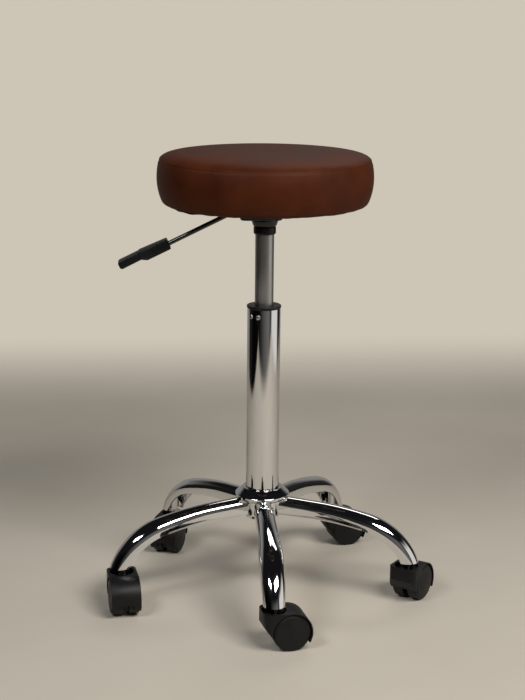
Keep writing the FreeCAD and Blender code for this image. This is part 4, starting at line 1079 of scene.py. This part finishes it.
# ---- seat -------------------------------------------------------------------------------
@dataclass
class Seat:
    """Upholstered pad: vinyl pulled over foam and stapled under a board, lined below."""

    radius: float = 161.0
    shrink: float = 1.3             # the pad starts this much small, because the foam's push swells it
    swell: float = 3.2              # the most that a point may move
    segments: int = 264
    eye: float = 3.0                # radius of the flat facet at the middle, where the rings close
    seam_height: float = 63.5
    seam_inset: float = 3.5
    shoulder: tuple[float, float] = (26.0, 73.2)    # inset from the radius, height above the hem
    widest: float = 36.0
    foot: tuple[float, float] = (6.5, 6.0)          # inset from the radius, height above the hem
    turn_inset: float = 17.0
    hem_radius: float = 126.0
    saddle: float = 1.8             # how much higher the pad stands at its left and right
    groove_depth: float = 0.7
    groove_width: float = 1.5
    pressure: float = 3.5
    frames: int = 20
    lining_radius: float = 140.0
    window: float = 166.0
    staples: int = 24

    def build(self) -> None:
        """Make the pad and its lining."""
        self.build_pad()
        self.build_lining()

    @property
    def seam_radius(self) -> float:
        """Radius of the seam before the pad swells."""
        return self.radius - self.shrink - self.seam_inset

    def outline(self) -> Outline:
        """Half section from the crown round to the board, in radius and height above the hem."""
        r = self.radius - self.shrink
        low = self.shrink * 0.4
        top = (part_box("seat_cover")[1].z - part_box("seat_cover")[0].z) / MM - self.shrink
        inset, height = self.shoulder
        shoulder = (r - inset, height - self.shrink)
        seam = (self.seam_radius, self.seam_height)
        foot = (r - self.foot[0], self.foot[1])
        turned = r - self.turn_inset
        crown = arc((self.eye, top), (shoulder[0] / 2, top * 0.75 + shoulder[1] * 0.25), shoulder, 22)
        brow = arc(shoulder, (seam[0] - (inset - self.seam_inset) * 0.36,
                              seam[1] + (shoulder[1] - seam[1]) * 0.69), seam, 12)
        side = arc(seam, (r, self.widest), foot, 22)
        turn = arc(foot, (foot[0] - 2.6, foot[1] * 0.28 + low), (turned, low), 5)
        under = [(turned - (turned - self.hem_radius) * k / 5, low) for k in range(6)]
        inside = [(self.hem_radius - 0.5, 3.0), (self.hem_radius * 0.5, 3.0), (self.eye, 3.0)]
        near = [(seam[0] + dr, seam[1] + dz) for dr, dz in ((-1.1, 1.9), (-0.5, 0.9))]
        return [*crown, *brow, *near, seam, (seam[0] + 0.3, seam[1] - 1.0), *side[1:], *turn, *under, *inside]

    def gathered(self, bm: Mesh, bottom: float) -> None:
        """Ripple the cover's lower edge where it is pulled under, and raise its upper part at the left and right.

        Args:
            bm: the pad's mesh.
            bottom: height of the hem.
        """
        for vert in bm.verts:
            radius, height = vert.co.xy.length, vert.co.z - bottom
            if radius < self.hem_radius - 1:
                continue
            angle = math.atan2(vert.co.y, vert.co.x)
            around = Vector((math.cos(angle), math.sin(angle), 0))
            slow = noise.noise(around * 4.0) * 0.9 + noise.noise(around * 11.0 + Vector((0, 0, 7))) * 0.5
            fold = noise.noise(around * 26.0 + Vector((3, 1, 2)))
            low_share = math.exp(-(height / 14.0) ** 2)
            vert.co += around * (slow * 0.7 + fold * 0.5) * low_share
            vert.co.z += (slow * 1.1 + fold * 0.4) * low_share * min(1.0, max(0.0, (radius - 132) / 14))
            high_share = min(1.0, max(0.0, (height - 30) / 30)) * min(1.0, max(0.0, (radius - 100) / 50))
            vert.co.z += self.saddle * around.x ** 2 * high_share

    def build_pad(self) -> None:
        """Make the pad, let the foam swell it between seam and hem, then sew the seam in."""
        bottom = level("seat_cover")
        bm = lathe([(r, z + bottom) for r, z in self.outline()], self.segments)
        self.gathered(bm, bottom)
        bmesh.ops.holes_fill(bm, edges=bm.edges, sides=0)
        bmesh.ops.recalc_face_normals(bm, faces=bm.faces)
        pad = piece("vinyl_pad", bm, Finish.VINYL, "seat", ["seat_cover", "seat_foam"], 180)
        self.inflate(pad, bottom)
        self.subdivide(pad)
        self.sew(pad, bottom)

    def inflate(self, pad: bpy.types.Object, bottom: float) -> None:
        """Swell the pad with cloth simulation, held at the seam and under the board.

        Args:
            pad: the pad.
            bottom: height of the hem.
        """
        mesh = pad.data
        start = [v.co.copy() for v in mesh.vertices]
        group = pad.vertex_groups.new(name="held")
        for vert in mesh.vertices:
            radius, height = vert.co.xy.length / MM, vert.co.z / MM - bottom
            at_seam = abs(height - self.seam_height) < 0.3 and abs(radius - self.seam_radius) < 1.5
            if at_seam or (height < 9 and radius < self.radius - 14):
                group.add([vert.index], 1.0, "REPLACE")
        cloth = pad.modifiers.new("cover", "CLOTH")
        settings = cloth.settings
        settings.quality = 6
        settings.mass = 0.35
        settings.vertex_group_mass = "held"
        settings.use_pressure = True
        settings.uniform_pressure_force = self.pressure
        settings.tension_stiffness = settings.compression_stiffness = 18
        settings.shear_stiffness = 8
        settings.bending_stiffness = 1.5
        settings.effector_weights.gravity = 0
        cloth.point_cache.frame_start, cloth.point_cache.frame_end = 1, self.frames
        scene = bpy.context.scene
        for number in range(1, self.frames + 1):
            scene.frame_set(number)
        shaped = pad.evaluated_get(bpy.context.evaluated_depsgraph_get()).data
        ends = [v.co.copy() for v in shaped.vertices]
        pad.modifiers.remove(cloth)
        pad.vertex_groups.clear()
        scene.frame_set(1)
        moves = [end - begin for begin, end in zip(start, ends)]
        for vert, begin, move in zip(mesh.vertices, start, moves):
            reach = move.length
            vert.co = begin + move * (min(reach, self.swell * MM) / reach if reach > 1e-9 else 0)
        LOG.info("pad swelled by up to %.1f mm", max(m.length for m in moves) / MM)

    def subdivide(self, pad: bpy.types.Object) -> None:
        """Subdivide the pad once and keep the result as its mesh.

        Args:
            pad: the pad.
        """
        self.close_eyes(pad, False)
        finer = pad.modifiers.new("finer", "SUBSURF")
        finer.levels = finer.render_levels = 1
        shaped = pad.evaluated_get(bpy.context.evaluated_depsgraph_get())
        fine = bpy.data.meshes.new_from_object(shaped)
        pad.modifiers.remove(finer)
        old, pad.data = pad.data, fine
        bpy.data.meshes.remove(old)
        fine.name = pad.name
        self.close_eyes(pad, True)
        fine.shade_smooth()

    def close_eyes(self, pad: bpy.types.Object, close: bool) -> None:
        """Open or close the facets in the middle of the crown and of the underside.

        Args:
            pad: the pad.
            close: fill them instead of taking them out.
        """
        bm = bmesh.new()
        bm.from_mesh(pad.data)
        if close:
            bmesh.ops.holes_fill(bm, edges=bm.edges, sides=0)
        else:
            bmesh.ops.delete(bm, geom=[f for f in bm.faces if len(f.verts) > 4], context="FACES_ONLY")
        bm.to_mesh(pad.data)
        bm.free()

    def sew(self, pad: bpy.types.Object, bottom: float) -> None:
        """Draw the seam in as a groove, with short puckers on both sides of it.

        Args:
            pad: the pad.
            bottom: height of the hem.
        """
        for vert in pad.data.vertices:
            radius, height = vert.co.xy.length / MM, vert.co.z / MM - bottom
            away = math.hypot(radius - self.seam_radius, height - self.seam_height)
            if away > 14 or radius < 100:
                continue
            angle = math.atan2(vert.co.y, vert.co.x)
            around = Vector((math.cos(angle), math.sin(angle), 0))
            pucker = noise.noise(around * 38.0) * 0.45 * math.exp(-(away / 6.0) ** 2)
            groove = self.groove_depth * math.exp(-(away / self.groove_width) ** 2)
            vert.co -= (around * 0.9 + Vector((0, 0, 0.43))) * (groove + pucker) * MM

    def build_lining(self) -> None:
        """Make the black lining under the board, held by staples and sagging between them."""
        top = level("dust_cover", top=True)
        half, corner = self.window / 2, 10.0
        bm = bmesh.new()
        count = self.staples * 8
        for radius in (self.lining_radius, self.window):
            bmesh.ops.create_circle(bm, cap_ends=False, radius=radius, segments=count)
        for vert in bm.verts:
            if vert.co.length < self.lining_radius + 1:
                continue
            direction = vert.co.normalized()
            reach = half / max(abs(direction.x), abs(direction.y))
            edge = direction * reach
            inset = Vector((min(abs(edge.x), half - corner), min(abs(edge.y), half - corner), 0))
            away = Vector((abs(edge.x), abs(edge.y), 0)) - inset
            if away.x > 0 and away.y > 0:
                away = away.normalized() * corner
            edge = inset + away
            vert.co = Vector((math.copysign(edge.x, direction.x), math.copysign(edge.y, direction.y), 0))
        bmesh.ops.bridge_loops(bm, edges=bm.edges)
        across = [e for e in bm.edges if abs(e.verts[0].co.length - e.verts[1].co.length) > 15]
        bmesh.ops.subdivide_edges(bm, edges=across, cuts=9, use_grid_fill=True)
        for vert in bm.verts:
            radius = vert.co.xy.length
            angle = math.atan2(vert.co.y, vert.co.x)
            around = Vector((math.cos(angle), math.sin(angle), 0))
            sag = 0.5 + 0.5 * math.cos(self.staples * angle + math.pi)
            loose = max(0.0, math.cos(angle - math.radians(-152))) ** 14
            edge = math.exp(-((radius - self.lining_radius) / 7) ** 2)
            droop = 0.5 + noise.noise(around * 5 + Vector((0, 0, radius / 30))) * 0.6 + 1.0 * sag * edge
            vert.co.z = top - max(0.0, droop) - loose * 2.6 * edge
        bmesh.ops.recalc_face_normals(bm, faces=bm.faces)
        lining = piece("lining_cloth", bm, Finish.LINING, "seat", ["dust_cover"], 180)
        thick = lining.modifiers.new("thick", "SOLIDIFY")
        thick.thickness, thick.offset = 0.5 * MM, 0


# ---- studio -----------------------------------------------------------------------------
@dataclass
class Studio:
    """Plain pale floor, soft lights, and the camera."""

    eye: tuple[float, float, float] = (-0.1829, -2.2626, 0.937)
    turn: tuple[float, float, float] = (-4.58, 76.24, 0.56)     # degrees about Z, X and the view axis
    lens: float = 79.56
    floor_colour: str = "c4bcae"
    floor_light: str = "c9c1b3"
    far_colour: str = "cdc5b6"
    floor_half: float = 2.0
    ceiling: tuple[float, float, float, float] = (0.008, 0.008, 0.009, 1.0)
    # Share of a turn and brightness of the walls that the chrome reflects.
    walls: tuple[tuple[float, float], ...] = (
        (0.0, 0.002), (0.15, 0.002), (0.19, 0.03), (0.25, 0.1), (0.33, 0.17), (0.375, 0.01), (0.4, 0.8),
        (0.52, 0.8), (0.54, 0.01), (0.62, 0.03), (0.66, 0.26), (0.88, 0.26), (0.93, 0.01))
    # Where the floor has gone and where it is whole, along each axis in turn.
    floor_edges: tuple[tuple[str, float, float], ...] = (
        ("X", -1.24, -1.10), ("X", 1.60, 1.25), ("Y", -1.42, -1.08), ("Y", 1.75, 1.00))

    def build(self) -> None:
        """Make everything round the stool."""
        self.build_camera()
        self.build_floor()
        self.build_world()
        self.light("key", (1.1, -1.7, 2.4), (1.6, 0.8), 70, (1.0, 0.97, 0.93))
        self.light("fill", (-1.4, -1.5, 2.2), (1.0, 0.4), 26, (0.95, 0.97, 1.0))
        self.light("back", (0.8, 1.9, 2.3), (1.6, 0.5), 8, (1.0, 0.98, 0.95))

    def build_camera(self) -> None:
        """Make the camera."""
        data = bpy.data.cameras.new("camera")
        data.lens, data.sensor_width, data.clip_start = self.lens, 36.0, 0.05
        camera = bpy.data.objects.new("camera", data)
        bpy.context.scene.collection.objects.link(camera)
        z, x, roll = [math.radians(v) for v in self.turn]
        camera.matrix_world = (Matrix.Translation(self.eye) @ Matrix.Rotation(z, 4, "Z")
                               @ Matrix.Rotation(x, 4, "X") @ Matrix.Rotation(roll, 4, "Z"))
        bpy.context.scene.camera = camera

    def build_floor(self) -> None:
        """Make a floor that thins out to nothing at its edges."""
        bm = bmesh.new()
        bmesh.ops.create_grid(bm, x_segments=1, y_segments=1, size=self.floor_half)
        mesh = bpy.data.meshes.new("floor")
        bm.to_mesh(mesh)
        bm.free()
        floor = bpy.data.objects.new("floor", mesh)
        bpy.context.scene.collection.objects.link(floor)
        coat = Coat("studio_floor")
        clouds = coat.spread(coat.noise(0.3, 3.0), 0, 1)
        coat.feed(Base_Color=coat.colours(clouds, self.floor_colour, self.floor_light))
        coat.fix(Roughness=0.55, IOR=1.45)
        place = add(coat.tree, "ShaderNodeSeparateXYZ", None, {"Vector": coat.place})
        whole = None
        for axis, gone, full in self.floor_edges:
            there = add(coat.tree, "ShaderNodeMapRange", {"From Min": gone, "From Max": full,
                                                          "interpolation_type": "SMOOTHSTEP"},
                        {"Value": place.outputs[axis]}).outputs["Result"]
            whole = there if whole is None else add(
                coat.tree, "ShaderNodeMath", {"operation": "MULTIPLY"}, {0: whole, 1: there}).outputs["Value"]
        coat.feed(Alpha=whole)
        mesh.materials.append(coat.material)

    def build_world(self) -> None:
        """Make the surroundings: plain behind the stool, with dark and bright walls for the chrome."""
        world = bpy.data.worlds.new("studio")
        world.use_nodes = True
        bpy.context.scene.world = world
        tree = world.node_tree
        tree.nodes.clear()
        way = add(tree, "ShaderNodeTexCoord").outputs["Generated"]
        azimuth = add(tree, "ShaderNodeTexGradient", {"gradient_type": "RADIAL"}, {"Vector": way})
        walls = add(tree, "ShaderNodeValToRGB", None, {"Fac": azimuth.outputs["Fac"]})
        ramp = walls.color_ramp
        while len(ramp.elements) < len(self.walls):
            ramp.elements.new(0.5)
        for element, (place, shade) in zip(ramp.elements, self.walls):
            element.position = place
            element.color = (shade, shade * 0.97, shade * 0.92, 1)
        height = add(tree, "ShaderNodeSeparateXYZ", None, {"Vector": way}).outputs["Z"]
        up = add(tree, "ShaderNodeMapRange", {"From Min": 0.3, "From Max": 0.55,
                                              "interpolation_type": "SMOOTHSTEP"}, {"Value": height})
        room = add(tree, "ShaderNodeMix", {"data_type": "RGBA", 7: self.ceiling},
                   {0: up.outputs["Result"], 6: walls.outputs["Color"]})
        seen = add(tree, "ShaderNodeLightPath").outputs["Is Camera Ray"]
        plain = add(tree, "ShaderNodeMix", {"data_type": "RGBA", 7: linear(self.far_colour)},
                    {0: seen, 6: room.outputs[2]})
        background = add(tree, "ShaderNodeBackground", {"Strength": 1.0}, {"Color": plain.outputs[2]})
        add(tree, "ShaderNodeOutputWorld", None, {"Surface": background.outputs["Background"]})

    def light(self, name: str, place: Sequence[float], size: Sequence[float], power: float,
              colour: Sequence[float]) -> None:
        """Make a softbox aimed at the stool.

        Args:
            name: its name.
            place: its centre.
            size: its width and height.
            power: watts.
            colour: linear RGB.
        """
        data = bpy.data.lights.new(name, "AREA")
        data.shape, data.size, data.size_y = "RECTANGLE", size[0], size[1]
        data.energy, data.color = power, colour
        lamp = bpy.data.objects.new(name, data)
        bpy.context.scene.collection.objects.link(lamp)
        aim = (Vector((0, 0, 0.4)) - Vector(place)).to_track_quat("-Z", "Y").to_matrix().to_4x4()
        lamp.matrix_world = Matrix.Translation(place) @ aim


# ---- the stool --------------------------------------------------------------------------
def dress_nodes() -> None:
    """Give every CAD node that stays the finish of its slot."""
    by_slot = {finish.slot: finish for finish in reversed(Finish)}
    for row in frame["record"]["subparts"]:
        mesh = frame["nodes"][row["node"]].data
        mesh.materials.clear()
        mesh.materials.append(by_slot[row["material_slot"]].material())
    LOG.info("dressed %d CAD nodes", len(frame["nodes"]))


def main() -> None:
    """Build the stool and its studio."""
    logging.basicConfig(level=logging.INFO, format="%(name)s: %(message)s")
    bpy.context.scene.view_settings.view_transform = "Standard"
    dress_nodes()
    Base(Leg()).build()
    for number in range(1, 6):
        Caster().build(number)
    Lift().build()
    Lever().build()
    Seat().build()
    Studio().build()


if __name__ == "__main__":
    main()
